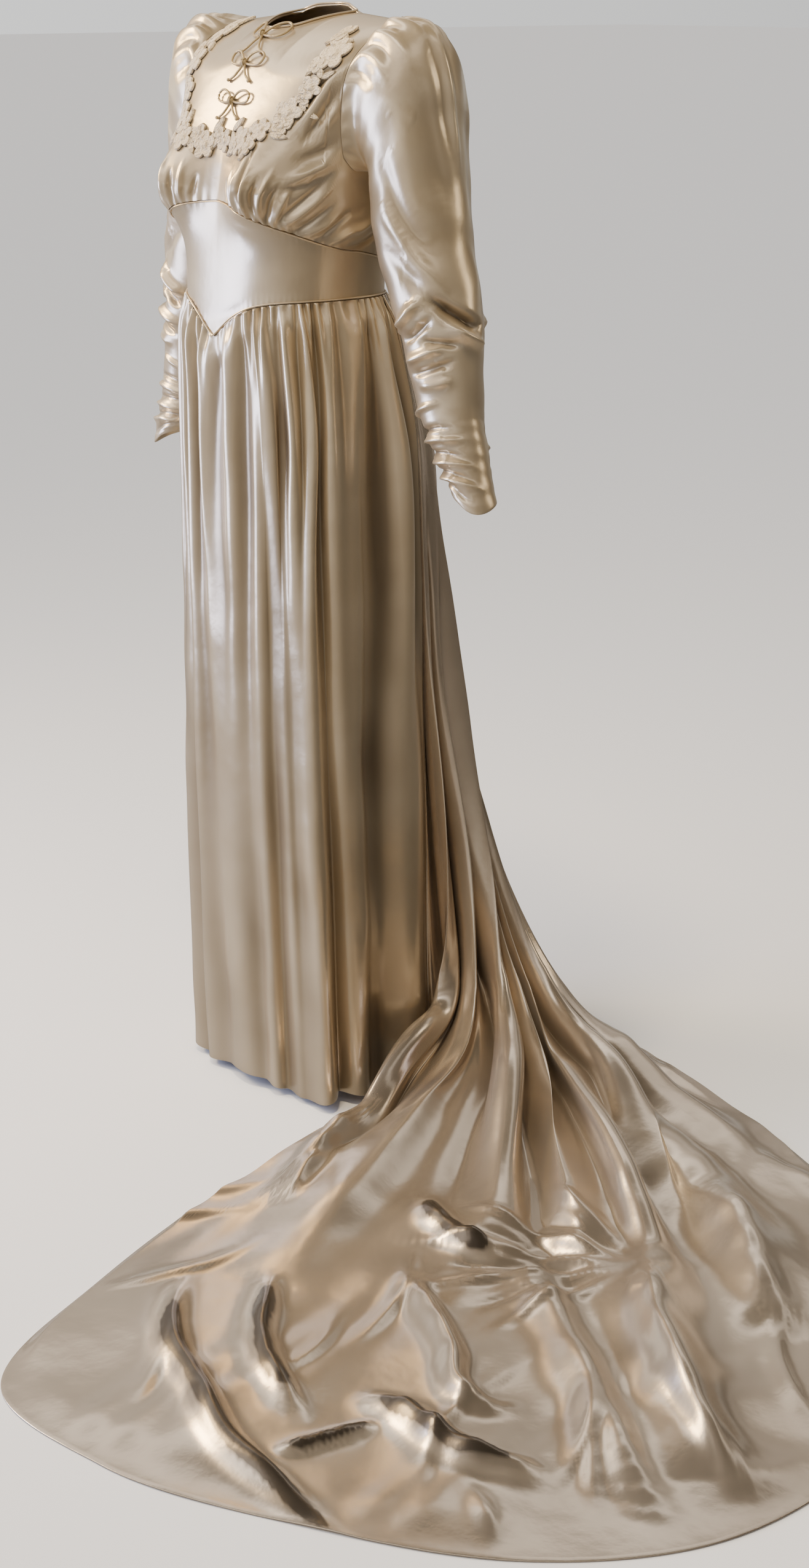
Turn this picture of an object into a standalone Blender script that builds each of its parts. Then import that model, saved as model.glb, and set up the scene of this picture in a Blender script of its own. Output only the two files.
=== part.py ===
"""Satin wedding gown with a court train, as it hangs on its wearer: hollow cloth walls, cut and sewn.

Metres, +Z up. The wearer faces -Y and the wearer's left side is +X. Heights in the tables are above the
floor, and every object is lowered by HOLD_HEIGHT, so the origin is the centre of the shoulder line, where
the wearer holds the gown. The train lies round to the wearer's left.
"""
import math

import bmesh
import bpy
import numpy as np

for old in list(bpy.data.objects):
    bpy.data.objects.remove(old, do_unlink=True)

# ---------------------------------------------------------------- driving dimensions
HOLD_HEIGHT = 1.440       # shoulder line above the floor
WALL = 0.002              # satin with its seam allowances
LACE_WALL = 0.001
LACE_LIFT = 0.0038        # outer face of the lace over the true round of the bodice
SEAM_GAP = 0.0003
EDGE_SHIFT = 0.0003       # each piece ends this far short of its seam line
SHOULDER_SHIFT = 0.0012   # and this far at the shoulder, where the two walls turn towards each other
HEM_HEIGHT = 0.014        # the front hem clears the floor by this
PIPING_RADIUS = 0.0016
BINDING_RADIUS = 0.0020
ROULEAU_RADIUS = 0.0015   # the thin satin tube of the bows
KNOT_RADIUS = 0.0042
BUTTON_RADIUS = 0.0036
BUTTONS_A_CUFF = 10

SKIRT_LEFT_SEAM = 118.0   # the skirt's seams lie behind the side seams of the bodice, where the train
SKIRT_RIGHT_SEAM = -105.0  # draws them back: degrees from the centre front
SEAM_TURN = 0.18           # each skirt panel ends this many degrees short of the seam
SQUARE = 0.78             # below 1, a section is squarer than an ellipse
SHOULDER_Y = 0.074        # the shoulder seam lies this far behind the origin of the sections
SHOULDER_ROUND = 0.075    # height over which the front and back turn over to the shoulder seam
BUST = dict(x=0.090, height=1.240, width=0.050, rise=0.050, depth=0.044)

# Sections of the body of the gown: height, half_width, front, back
BODY = np.array((
    (1.030, 0.142, 0.126, 0.124),
    (1.090, 0.130, 0.122, 0.108),
    (1.140, 0.133, 0.119, 0.108),
    (1.200, 0.143, 0.115, 0.112),
    (1.250, 0.150, 0.108, 0.118),
    (1.300, 0.156, 0.099, 0.122),
    (1.345, 0.166, 0.084, 0.121),
    (1.390, 0.180, 0.063, 0.116),
    (1.470, 0.205, 0.010, 0.110),
)).T

# Sections of the skirt, smoothed over its folds: height, half_width, front, back
SKIRT = np.array((
    (0.000, 0.184, 0.112, 0.225),
    (0.250, 0.180, 0.120, 0.222),
    (0.530, 0.170, 0.126, 0.214),
    (0.745, 0.163, 0.127, 0.206),
    (0.940, 0.153, 0.126, 0.180),
    (1.040, 0.141, 0.125, 0.135),
    (1.100, 0.131, 0.123, 0.109),
)).T

# Top edge of the bodice: angle, height. The shoulder seam runs from 12.5 to 50 and from 130 to 167.5.
TOP_EDGE = np.array((
    (0.0, 1.4300), (6.0, 1.4340), (12.5, 1.4500), (50.0, 1.4390),
    (58.0, 1.4150), (66.0, 1.3750), (74.0, 1.3200), (82.0, 1.2780), (90.0, 1.2600),
    (98.0, 1.2560), (106.0, 1.2720), (114.0, 1.3180), (122.0, 1.3830), (130.0, 1.4390),
    (167.5, 1.4500), (174.0, 1.4580), (180.0, 1.4600),
)).T

# Seam under the bust, all round: angle, height
BUST_SEAM = np.array(((0, 1.221), (18, 1.214), (45, 1.192), (90, 1.160), (135, 1.142), (180, 1.138))).T
WAIST_SEAM = dict(side=1.098, point=0.050, spread=15.0)

# Valleys between the folds of the skirt: angle, width, depth at the hip, depth at the hem
FOLDS = np.array((
    (-78, 7.0, 0.007, 0.012), (-52, 8.0, 0.009, 0.015), (-27, 7.0, 0.010, 0.014),
    (-6, 6.0, 0.006, 0.010), (15, 6.0, 0.008, 0.012), (29, 5.5, 0.012, 0.018),
    (52, 11.0, -0.003, -0.026), (43, 4.5, 0.008, 0.009), (66, 6.0, 0.016, 0.024), (93, 6.0, 0.014, 0.022),
    (118, 7.0, 0.010, 0.018), (145, 9.0, 0.012, 0.020), (176, 9.0, 0.013, 0.022),
    (207, 9.0, 0.012, 0.020), (240, 9.0, 0.010, 0.016),
))

# The back panel from the left seam to the right seam. Each row: share of its hem, angle at the waist,
# where it meets the floor (knee_x, knee_y), and its hem (end_x, end_y). Its near edge stands off the floor.
TRAIN = np.array((
    (0.00, SKIRT_LEFT_SEAM + SEAM_TURN, 0.167, 0.119, 0.196, 0.112),
    (0.04, 120, 0.180, 0.130, 0.232, -0.010),
    (0.07, 122, 0.190, 0.140, 0.232, -0.150),
    (0.10, 124, 0.200, 0.150, 0.298, -0.400),
    (0.13, 126, 0.208, 0.160, 0.385, -0.605),
    (0.17, 129, 0.216, 0.172, 0.500, -0.806),
    (0.22, 133, 0.224, 0.186, 0.720, -0.822),
    (0.28, 138, 0.230, 0.204, 0.950, -0.727),
    (0.34, 143, 0.234, 0.226, 1.130, -0.605),
    (0.41, 149, 0.235, 0.252, 1.243, -0.400),
    (0.48, 156, 0.232, 0.284, 1.205, -0.130),
    (0.55, 163, 0.224, 0.318, 1.020, 0.120),
    (0.62, 171, 0.208, 0.352, 0.740, 0.286),
    (0.69, 181, 0.170, 0.384, 0.370, 0.388),
    (0.77, 194, 0.055, 0.362, 0.105, 0.412),
    (0.85, 213, -0.080, 0.272, -0.090, 0.310),
    (0.93, 235, -0.148, 0.165, -0.164, 0.192),
    (1.00, 360 + SKIRT_RIGHT_SEAM - SEAM_TURN, -0.178, 0.080, -0.186, 0.086),
)).T
FALL_HEIGHT = 0.62        # below this the back panel leaves the column of the skirt
FALL_CURVE = 1.7

# The largest folds lying on the train: from (x, y) to (x, y), half_width, height
TRAIN_FOLDS = np.array((
    (0.205, 0.150, 0.236, -0.060, 0.040, 0.075),
    (0.48, -0.50, 0.93, -0.64, 0.050, 0.030),
    (0.56, -0.38, 0.69, -0.52, 0.045, 0.026),
    (0.77, -0.42, 1.00, -0.47, 0.048, 0.030),
    (0.66, -0.24, 0.84, -0.36, 0.042, 0.028),
    (0.28, 0.16, 0.46, -0.03, 0.050, 0.060),
    (0.30, 0.28, 0.78, -0.08, 0.055, 0.050),
    (0.80, -0.10, 1.15, -0.38, 0.055, 0.030),
    (0.56, 0.20, 1.00, -0.02, 0.050, 0.022),
))

# Rings of the left sleeve below its armhole: outer_x, outer_height, inner_x, inner_height, y, half_depth
SLEEVE = np.array((
    (0.1960, 1.4460, 0.1570, 1.2560, 0.030, 0.060),
    (0.2320, 1.4400, 0.1600, 1.2500, 0.036, 0.066),
    (0.2560, 1.4140, 0.1610, 1.2400, 0.040, 0.068),
    (0.2660, 1.3700, 0.1600, 1.2250, 0.043, 0.068),
    (0.2690, 1.3180, 0.1595, 1.2050, 0.044, 0.067),
    (0.2735, 1.2650, 0.1610, 1.1800, 0.044, 0.066),
    (0.2810, 1.2150, 0.1680, 1.1500, 0.044, 0.063),
    (0.2890, 1.1700, 0.1780, 1.1200, 0.044, 0.059),
    (0.3040, 1.1250, 0.1940, 1.0850, 0.043, 0.056),
    (0.3140, 1.0850, 0.2080, 1.0500, 0.043, 0.052),
    (0.3180, 1.0400, 0.2210, 1.0100, 0.042, 0.047),
    (0.3205, 1.0000, 0.2350, 0.9700, 0.042, 0.042),
    (0.3260, 0.9570, 0.2535, 0.9320, 0.041, 0.037),
    (0.3400, 0.9100, 0.2790, 0.8920, 0.040, 0.031),
    (0.3580, 0.8580, 0.3010, 0.8720, 0.038, 0.027),
))

# Centre line of the lace wreath, one half: x, height
WREATH = np.array(((0.000, 1.300), (0.050, 1.295), (0.092, 1.307), (0.119, 1.335),
                   (0.132, 1.370), (0.134, 1.400), (0.128, 1.425))).T
WREATH_HALF_WIDTH = 0.020

BODICE_ANGLES = (0, 6, 12.5, 31, 50, 58, 66, 74, 82, 90)
BODICE_ROWS = 7
SKIRT_ROWS = np.linspace(0, 1, 13) ** 1.15   # from the waist seam down to the floor
MIDRIFF_ANGLES = (0, 8, 18, 31, 45, 60, 75, 90)
BOW_HEIGHTS = dict(bow_top=1.4215, bow_middle=1.3880, bow_bottom=1.3420)

gown = bpy.data.collections.new("wedding_gown")
bpy.context.scene.collection.children.link(gown)


# ---------------------------------------------------------------- materials
def cloth_material(name, colour, roughness):
    """One cloth: its colour, and how dull its surface is."""
    material = bpy.data.materials.new(name)
    material.use_nodes = True
    shader = material.node_tree.nodes["Principled BSDF"]
    shader.inputs["Base Color"].default_value = (*colour, 1.0)
    shader.inputs["Roughness"].default_value = roughness
    shader.inputs["Metallic"].default_value = 0.0
    return material


SATIN = cloth_material("ivory_satin", (0.78, 0.68, 0.54), 0.28)
LACE = cloth_material("beige_lace", (0.76, 0.62, 0.45), 0.75)
ROULEAU = cloth_material("satin_rouleau", (0.56, 0.47, 0.32), 0.35)
COVERED = cloth_material("covered_button", (0.74, 0.64, 0.50), 0.35)


# ---------------------------------------------------------------- sections
def follow(where, knots, values):
    """A smooth curve through the values at the knots, read at each place in where."""
    slopes = np.gradient(values, knots)
    row = np.clip(np.searchsorted(knots, where, side="right") - 1, 0, len(knots) - 2)
    step = knots[row + 1] - knots[row]
    t = np.clip((where - knots[row]) / step, 0.0, 1.0)
    return (
        values[row] * (1 + 2 * t) * (1 - t) ** 2
        + values[row + 1] * t * t * (3 - 2 * t)
        + step * (slopes[row] * t * (1 - t) ** 2 - slopes[row + 1] * t * t * (1 - t))
    )


def shoulder_height(x):
    """Height of the shoulder seam at this distance from the centre."""
    return np.interp(np.abs(x), (0.0, 0.060, 0.175), (1.470, 1.4500, 1.4390))


def section_point(angle, height, table):
    """Plan position on a section: a squared ellipse with its own front and back depth."""
    knots, half_width, front, back = table
    sine, cosine = np.sin(np.radians(angle)), np.cos(np.radians(angle))
    depth = np.where(cosine > 0, -follow(height, knots, front), follow(height, knots, back))
    x = follow(height, knots, half_width) * np.sign(sine) * np.abs(sine) ** SQUARE
    y = depth * np.abs(cosine) ** SQUARE
    return x, y


def torso(angle, height):
    """The body of the gown: sections, filled out at the bust and turned over at the shoulders."""
    angle, height = np.broadcast_arrays(np.asarray(angle, float), np.asarray(height, float))
    x, y = section_point(angle, height, BODY)
    front = np.cos(np.radians(angle)) > 0
    rise = np.where(height > BUST["height"], BUST["rise"] * 1.25, BUST["rise"])
    bump = np.exp(
        -(((np.abs(x) - BUST["x"]) / BUST["width"]) ** 2) - ((height - BUST["height"]) / rise) ** 2
    )
    y = y - np.where(front, BUST["depth"] * bump, 0.0)
    fall = np.clip((shoulder_height(x) - height) / SHOULDER_ROUND, 0.0, 1.0)
    y = SHOULDER_Y + (y - SHOULDER_Y) * np.sqrt(1 - (1 - fall) ** 2)
    return np.stack([x, y, height], axis=-1)


def top_edge(angle):
    """Height of the bodice's top edge, which follows the shoulder seam between neck and armhole."""
    turn = np.abs(np.asarray(angle, float))
    height = np.interp(turn, *TOP_EDGE)
    shoulder = ((turn >= 12.5) & (turn <= 50.0)) | ((turn >= 130.0) & (turn <= 167.5))
    ridge = height
    for _ in range(8):
        ridge = shoulder_height(section_point(turn, ridge, BODY)[0])
    return np.where(shoulder, ridge, height), shoulder


def bust_seam(angle):
    """Height of the seam between the bodice and the midriff."""
    return follow(np.abs(np.asarray(angle, float)), *BUST_SEAM)


def waist_seam(angle):
    """Height of the seam between the midriff and the skirt, which comes to a point at the front."""
    turn = np.abs((np.asarray(angle, float) + 180.0) % 360.0 - 180.0)
    return WAIST_SEAM["side"] - WAIST_SEAM["point"] * np.exp(-turn / WAIST_SEAM["spread"])


def half_round(angles):
    """The midriff's own angles, from the centre front to the centre back."""
    return list(angles) + [180 - a for a in angles[-2::-1]]


def waist_edge(angle):
    """The waist seam as the midriff's straight-sided edge has it, for whatever meets that edge."""
    turn = np.abs((np.asarray(angle, float) + 180.0) % 360.0 - 180.0)
    knots = half_round(MIDRIFF_ANGLES)
    return np.interp(turn, knots, waist_seam(knots))


def skirt_point(angle, height):
    """The skirt: its sections, drawn in at the valleys between the folds, which deepen to the hem."""
    angle, height = np.broadcast_arrays(np.asarray(angle, float), np.asarray(height, float))
    x, y = section_point(angle, height, SKIRT)
    drop = np.clip((waist_seam(angle) - height) / 0.25, 0.0, 1.0)
    share = np.clip(1 - height / 0.85, 0.0, 1.0)
    inward = np.zeros_like(x)
    for place, width, at_hip, at_hem in FOLDS:
        turn = (angle - place + 180.0) % 360.0 - 180.0
        inward += (at_hip + (at_hem - at_hip) * share) * np.exp(-((turn / width) ** 2))
    length = np.hypot(x, y)
    scale = 1 - inward * drop / length
    return np.stack([x * scale, y * scale, height], axis=-1)


def train_folds(x, y):
    """Height of the folds over the floor: each is a soft ridge along a line."""
    rise = np.zeros_like(x)
    for x0, y0, x1, y1, half_width, height in TRAIN_FOLDS:
        run = np.array((x1 - x0, y1 - y0))
        along = np.clip(((x - x0) * run[0] + (y - y0) * run[1]) / (run @ run), 0.0, 1.0)
        away = np.hypot(x - x0 - along * run[0], y - y0 - along * run[1])
        rise = np.maximum(rise, height * np.exp(-((away / half_width) ** 2)))
    return rise


def back_panel(share, row):
    """Skirt back and train. Rows 0 to 1 fall from the waist to the floor, 1 to 2 lie on it to the hem."""
    share, row = np.broadcast_arrays(share, row)
    knots = TRAIN[0]
    angle, knee_x, knee_y, end_x, end_y = (follow(share, knots, column) for column in TRAIN[1:])
    top = waist_edge(angle) - EDGE_SHIFT
    fall = np.clip(row, 0.0, 1.0)
    height = top * (1 - fall) + WALL * fall
    hung = skirt_point(angle, height)
    foot = skirt_point(angle, WALL)
    free = np.clip(share / knots[1], 0.0, 1.0) * np.clip((1 - share) / (1 - knots[-2]), 0.0, 1.0)
    knee_x = foot[..., 0] * (1 - free) + knee_x * free
    knee_y = foot[..., 1] * (1 - free) + knee_y * free
    leave = np.clip(1 - height / FALL_HEIGHT, 0.0, 1.0) ** FALL_CURVE
    lie = np.clip(row - 1.0, 0.0, 1.0)
    x = hung[..., 0] * (1 - leave) + knee_x * leave
    y = hung[..., 1] * (1 - leave) + knee_y * leave
    x = x + (end_x - knee_x) * lie
    y = y + (end_y - knee_y) * lie
    inside = np.clip((row - 0.9) / 0.2, 0.0, 1.0)
    return np.stack([x, y, height + train_folds(x, y) * inside], axis=-1)


# ---------------------------------------------------------------- objects
def finish(obj, material):
    obj.data.materials.append(material)
    gown.objects.link(obj)
    obj.location.z -= HOLD_HEIGHT
    return obj


def wall(name, points, material, thickness=WALL, around=False):
    """A cloth wall through a grid of points, rows by columns, thickened inward. Around joins its sides."""
    rows, columns = points.shape[:2]
    mesh = bpy.data.meshes.new(name)
    corners = []
    for row in range(rows - 1):
        for column in range(columns if around else columns - 1):
            beside = (column + 1) % columns
            here, above = row * columns, (row + 1) * columns
            corners.append((here + column, here + beside, above + beside, above + column))
    mesh.from_pydata(points.reshape(-1, 3).tolist(), [], corners)
    obj = finish(bpy.data.objects.new(name, mesh), material)
    shell = obj.modifiers.new("cloth_thickness", "SOLIDIFY")
    shell.thickness = thickness
    shell.offset = -1.0
    return obj


def tube(name, points, radius, material, closed=False, sides=0):
    """A thin round tube of cloth through the points."""
    curve = bpy.data.curves.new(name, "CURVE")
    curve.dimensions = "3D"
    curve.bevel_depth = radius
    curve.bevel_resolution = sides
    curve.use_fill_caps = not closed
    spline = curve.splines.new("POLY")
    spline.points.add(len(points) - 1)
    for knot, point in zip(spline.points, points):
        knot.co = (*point, 1.0)
    spline.use_cyclic_u = closed
    return finish(bpy.data.objects.new(name, curve), material)


def outward(angle, height):
    """Unit direction away from the surface of the torso at this place."""
    step = 0.5
    across = torso(angle + step, height) - torso(angle - step, height)
    up = torso(angle, height + 0.002) - torso(angle, height - 0.002)
    normal = np.cross(across, up)
    return normal / np.linalg.norm(normal, axis=-1, keepdims=True)


def bodice_points(angles, seam_side):
    """Rows by columns of points on one side of the bodice."""
    bottom = bust_seam(angles) + 3 * EDGE_SHIFT
    top, shoulder = top_edge(angles)
    rise = 1 - (1 - np.linspace(0, 1, BODICE_ROWS + 1)) ** 1.7
    heights = bottom + (top - bottom) * rise[:, None]
    points = torso(np.broadcast_to(angles, heights.shape), heights)
    points[..., 1] += seam_side * EDGE_SHIFT
    points[-1, shoulder, 1] = SHOULDER_Y + seam_side * SHOULDER_SHIFT
    return points


def bodice(name, angles, seam_side):
    """Front or back of the bodice, from the bust seam to the neck, shoulder and armhole."""
    return wall(name, bodice_points(np.array(angles, float), seam_side), SATIN)


def midriff(name, angles, seam_side):
    """Front or back of the fitted midriff, between its two piped seams."""
    angles = np.array(angles, float)
    top = bust_seam(angles) - EDGE_SHIFT
    bottom = waist_seam(angles) + EDGE_SHIFT
    share = np.linspace(0, 1, 3)[:, None]
    heights = bottom + (top - bottom) * share
    points = torso(np.broadcast_to(angles, heights.shape), heights)
    points[..., 1] += seam_side * EDGE_SHIFT
    return wall(name, points, SATIN)


def around_back(angles):
    """The same angles for the back: from the left side seam round to the right one."""
    left = [180 - a for a in reversed(angles)]
    return left + [a + 180 for a in angles[1:]]


def signed(angles):
    """Angles past the centre back, written as negative ones from the centre front."""
    return [(a + 180.0) % 360.0 - 180.0 if a != 180 else 180.0 for a in angles]


def front_angles(angles):
    return [-a for a in reversed(angles)] + list(angles[1:])


def sleeve_rings(side):
    """Rings of points from the armhole to the cuff: the first is the armhole's edge, 0.5 mm out."""
    edge = [50, 58, 66, 74, 82, 90, 98, 106, 114, 122]
    armhole = torso(np.array(edge, float), top_edge(edge)[0])
    armhole[:, 0] += 0.0006
    turn = np.radians(36.0 * np.arange(10))
    rings = [armhole]
    for outer_x, outer_h, inner_x, inner_h, y, half_depth in SLEEVE:
        outer, inner = np.array((outer_x, y, outer_h)), np.array((inner_x, y, inner_h))
        centre, reach = (outer + inner) / 2, (outer - inner) / 2
        ring = centre + np.cos(turn)[:, None] * reach
        ring[:, 1] -= half_depth * np.sin(turn)
        rings.append(ring)
    points = np.array(rings)
    points[..., 0] *= side
    return points


def sleeve(name, side):
    points = sleeve_rings(side)
    if side > 0:
        points = points[:, ::-1]
    return wall(name, points[::-1], SATIN, around=True)


def buttons(name, side):
    """Small covered buttons down the inner side of one cuff."""
    rings = sleeve_rings(side)
    run = rings[-4:, 5]
    steps = np.linspace(0.25, 2.92, BUTTONS_A_CUFF)
    for number, step in enumerate(steps, 1):
        row = int(step)
        foot = run[row] + (run[row + 1] - run[row]) * (step - row)
        slope = run[row + 1] - run[row]
        away = np.array((-slope[2], 0.0, slope[0]))
        away *= -side * np.sign(away[0]) / np.linalg.norm(away)
        bm = bmesh.new()
        bmesh.ops.create_cone(
            bm, cap_ends=True, segments=6, radius1=BUTTON_RADIUS,
            radius2=BUTTON_RADIUS * 0.5, depth=BUTTON_RADIUS * 0.9,
        )
        mesh = bpy.data.meshes.new(f"{name}_{number}")
        bm.to_mesh(mesh)
        bm.free()
        obj = bpy.data.objects.new(f"{name}_{number}", mesh)
        lift = BUTTON_RADIUS * 0.45 + SEAM_GAP + 0.0001
        obj.location = foot + away * lift
        obj.rotation_euler = (0.0, math.atan2(away[0], away[2]), 0.0)
        finish(obj, COVERED)


def lace_wreath():
    """The lace appliqué: a wall laid over the front of the bodice, along a U round the neck."""
    x = np.concatenate([-WREATH[0][:0:-1], WREATH[0]])
    height = np.concatenate([WREATH[1][:0:-1], WREATH[1]])
    knots = np.arange(len(x), dtype=float)
    along = np.linspace(0, len(x) - 1, 23)
    line = np.stack([follow(along, knots, x), follow(along, knots, height)], axis=-1)
    run = np.gradient(line, axis=0)
    across = np.stack([-run[:, 1], run[:, 0]], axis=-1)
    across /= np.linalg.norm(across, axis=1, keepdims=True)
    rows = []
    for share in (-1.0, 0.0, 1.0):
        flat = line + across * share * WREATH_HALF_WIDTH
        half = follow(flat[:, 1], BODY[0], BODY[1])
        angle = np.degrees(np.arcsin(np.clip(np.abs(flat[:, 0]) / half, 0, 1) ** (1 / SQUARE)))
        angle *= np.sign(flat[:, 0])
        rows.append(torso(angle, flat[:, 1]) + outward(angle, flat[:, 1]) * LACE_LIFT)
    wall("lace_wreath", np.array(rows), LACE, LACE_WALL)


def bow(name, height):
    """A rouleau bow on the centre front: a knot, two loops and two tails."""
    foot = torso(0.0, height)
    normal = outward(np.array(0.0), np.array(height))
    side = np.array((1.0, 0.0, 0.0))
    down = np.cross(normal, side)
    down *= -np.sign(down[2])
    centre = foot + normal * (KNOT_RADIUS * 0.75 + 2 * SEAM_GAP)
    bm = bmesh.new()
    bmesh.ops.create_uvsphere(bm, u_segments=6, v_segments=4, radius=KNOT_RADIUS)
    bmesh.ops.scale(bm, vec=(1.0, 0.75, 1.0), verts=bm.verts)
    mesh = bpy.data.meshes.new(f"{name}_knot")
    bm.to_mesh(mesh)
    bm.free()
    knot = bpy.data.objects.new(f"{name}_knot", mesh)
    knot.location = centre
    knot.rotation_euler = (math.atan2(-normal[2], -normal[1]), 0.0, 0.0)
    finish(knot, ROULEAU)
    start = KNOT_RADIUS
    for word, hand in (("left", 1.0), ("right", -1.0)):
        loop = ((start, 0.0016), (0.016, 0.0085), (0.028, 0.0100), (0.033, 0.0030),
                (0.026, -0.0030), (0.014, -0.0032), (start, -0.0020))
        tail = ((0.0030, -0.0048), (0.011, -0.0120), (0.017, -0.0175), (0.024, -0.0195))
        for kind, run in (("loop", loop), ("tail", tail)):
            points = []
            for across, rise in run:
                height_here = height + rise * -down[2]
                half = float(follow(np.array(height_here), BODY[0], BODY[1]))
                angle = math.degrees(math.asin((across / half) ** (1 / SQUARE))) * hand
                spot = torso(angle, height_here)
                away = outward(np.array(angle), np.array(height_here))
                points.append(spot + away * (ROULEAU_RADIUS + 0.0004))
            tube(f"{name}_{kind}_{word}", points, ROULEAU_RADIUS, ROULEAU)


def neck_binding():
    """The bound neck edge: a narrow tube standing on the edge of the front and back."""
    front = np.array(front_angles((0, 3, 6, 9, 12.5)), float)
    back = np.array((167.5, 171, 174, 177, 180, -177, -174, -171, -167.5), float)
    lift = BINDING_RADIUS + SEAM_GAP + 0.0001
    points = []
    for angles in (front, back):
        ring = torso(angles, top_edge(angles)[0])
        ring[:, 2] += lift
        points.extend(ring)
    merged = [p for i, p in enumerate(points) if i not in (len(front), len(points) - 1)]
    tube("neck_binding", merged, BINDING_RADIUS, SATIN, closed=True)


def piping(name, seam, side):
    """A corded piping on the midriff, along its seam: above the seam where side is 1, below it at -1."""
    half = half_round(MIDRIFF_ANGLES)
    angles = np.array([-a for a in half[-2:0:-1]] + half, float)
    heights = seam(angles) + side * (PIPING_RADIUS + 0.0008)
    points = torso(angles, heights) + outward(angles, heights) * (PIPING_RADIUS + 0.0010)
    tube(name, points, PIPING_RADIUS, SATIN, closed=True)


def skirt_front():
    right, left = SKIRT_RIGHT_SEAM + SEAM_TURN, SKIRT_LEFT_SEAM - SEAM_TURN
    angles = np.concatenate([np.linspace(right, 0, 16), np.linspace(0, left, 17)[1:]])
    top = waist_edge(angles) - EDGE_SHIFT
    share = SKIRT_ROWS[:, None]
    heights = top * (1 - share) + HEM_HEIGHT * share
    points = skirt_point(np.broadcast_to(angles, heights.shape), heights)
    wall("skirt_front", points[::-1], SATIN)


def skirt_back_train():
    share = np.linspace(0, 1, 37)
    rows = np.concatenate([SKIRT_ROWS, 1 + np.linspace(0, 1, 11)[1:]])
    points = back_panel(share[None, :], rows[:, None])
    wall("skirt_back_train", points[::-1], SATIN)


bodice("bodice_front", front_angles(BODICE_ANGLES), -1)
bodice("bodice_back", signed(around_back(BODICE_ANGLES)), 1)
midriff("midriff_front", front_angles(MIDRIFF_ANGLES), -1)
midriff("midriff_back", signed(around_back(MIDRIFF_ANGLES)), 1)
skirt_front()
skirt_back_train()
sleeve("sleeve_left", 1)
sleeve("sleeve_right", -1)
neck_binding()
piping("piping_bust", bust_seam, -1)
piping("piping_waist", waist_seam, 1)
lace_wreath()
for bow_name, bow_height in BOW_HEIGHTS.items():
    bow(bow_name, bow_height)
buttons("button_left", 1)
buttons("button_right", -1)
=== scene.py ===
"""The looks of the satin wedding gown: fine cloth shells, lace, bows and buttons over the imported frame.

Metres, +Z up. Heights in the tables are above the floor, and HOLD lowers them to the frame's origin, the
centre of the shoulder line. The wearer faces -Y, and the wearer's left side is +X.
"""
import math

import bpy
import numpy as np
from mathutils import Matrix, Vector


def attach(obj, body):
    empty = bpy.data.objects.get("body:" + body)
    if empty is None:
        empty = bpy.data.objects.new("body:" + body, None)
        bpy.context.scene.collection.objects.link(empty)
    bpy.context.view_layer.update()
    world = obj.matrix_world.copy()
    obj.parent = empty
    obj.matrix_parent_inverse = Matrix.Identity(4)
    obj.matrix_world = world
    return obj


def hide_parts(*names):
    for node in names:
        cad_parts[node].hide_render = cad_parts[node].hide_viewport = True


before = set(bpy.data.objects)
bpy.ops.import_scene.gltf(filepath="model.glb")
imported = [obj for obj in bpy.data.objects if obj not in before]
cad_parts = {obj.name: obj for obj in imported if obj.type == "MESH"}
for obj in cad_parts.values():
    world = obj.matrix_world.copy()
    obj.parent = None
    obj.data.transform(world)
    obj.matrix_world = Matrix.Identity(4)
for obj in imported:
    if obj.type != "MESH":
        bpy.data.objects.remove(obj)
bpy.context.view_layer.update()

# ---------------------------------------------------------------- sizes, as the frame has them
MM = 0.001
HOLD = 1.44               # the origin's height above the floor
WALL = 0.002              # the cloth on the floor
SQUARE = 0.78             # power of the sections' sine and cosine: 1 is an ellipse, less is squarer
SHOULDER_Y = 0.074        # the shoulder seam, and how far below it the body turns over
SHOULDER_ROUND = 0.075
BUST = dict(x=0.09, height=1.24, width=0.05, rise=0.05, depth=0.044)
WAIST_SEAM = dict(side=1.098, point=0.05, spread=15.0)
SKIRT_LEFT_SEAM = 118.0   # angles of the skirt's side seams
SKIRT_RIGHT_SEAM = -105.0
FALL_HEIGHT = 0.62        # where the back panel leaves the skirt, and the power of its curve
FALL_CURVE = 1.7
HEM_HEIGHT = 0.014
TRAIN_SEAM = 0.56         # the seam between the two gores of the back panel, as a share of its hem

# Sections of the body of the gown: height, half_width, front, back
BODY = np.array((
    (1.03, 0.142, 0.126, 0.124),
    (1.09, 0.13, 0.122, 0.108),
    (1.14, 0.133, 0.119, 0.108),
    (1.2, 0.143, 0.115, 0.112),
    (1.25, 0.15, 0.108, 0.118),
    (1.3, 0.156, 0.099, 0.122),
    (1.345, 0.166, 0.084, 0.121),
    (1.39, 0.18, 0.063, 0.116),
    (1.47, 0.205, 0.01, 0.11),
)).T

# Sections of the skirt: height, half_width, front, back
SKIRT = np.array((
    (0.0, 0.184, 0.112, 0.225),
    (0.25, 0.18, 0.12, 0.222),
    (0.53, 0.17, 0.126, 0.214),
    (0.745, 0.163, 0.127, 0.206),
    (0.94, 0.153, 0.126, 0.18),
    (1.04, 0.141, 0.125, 0.135),
    (1.1, 0.131, 0.123, 0.109),
)).T

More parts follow.
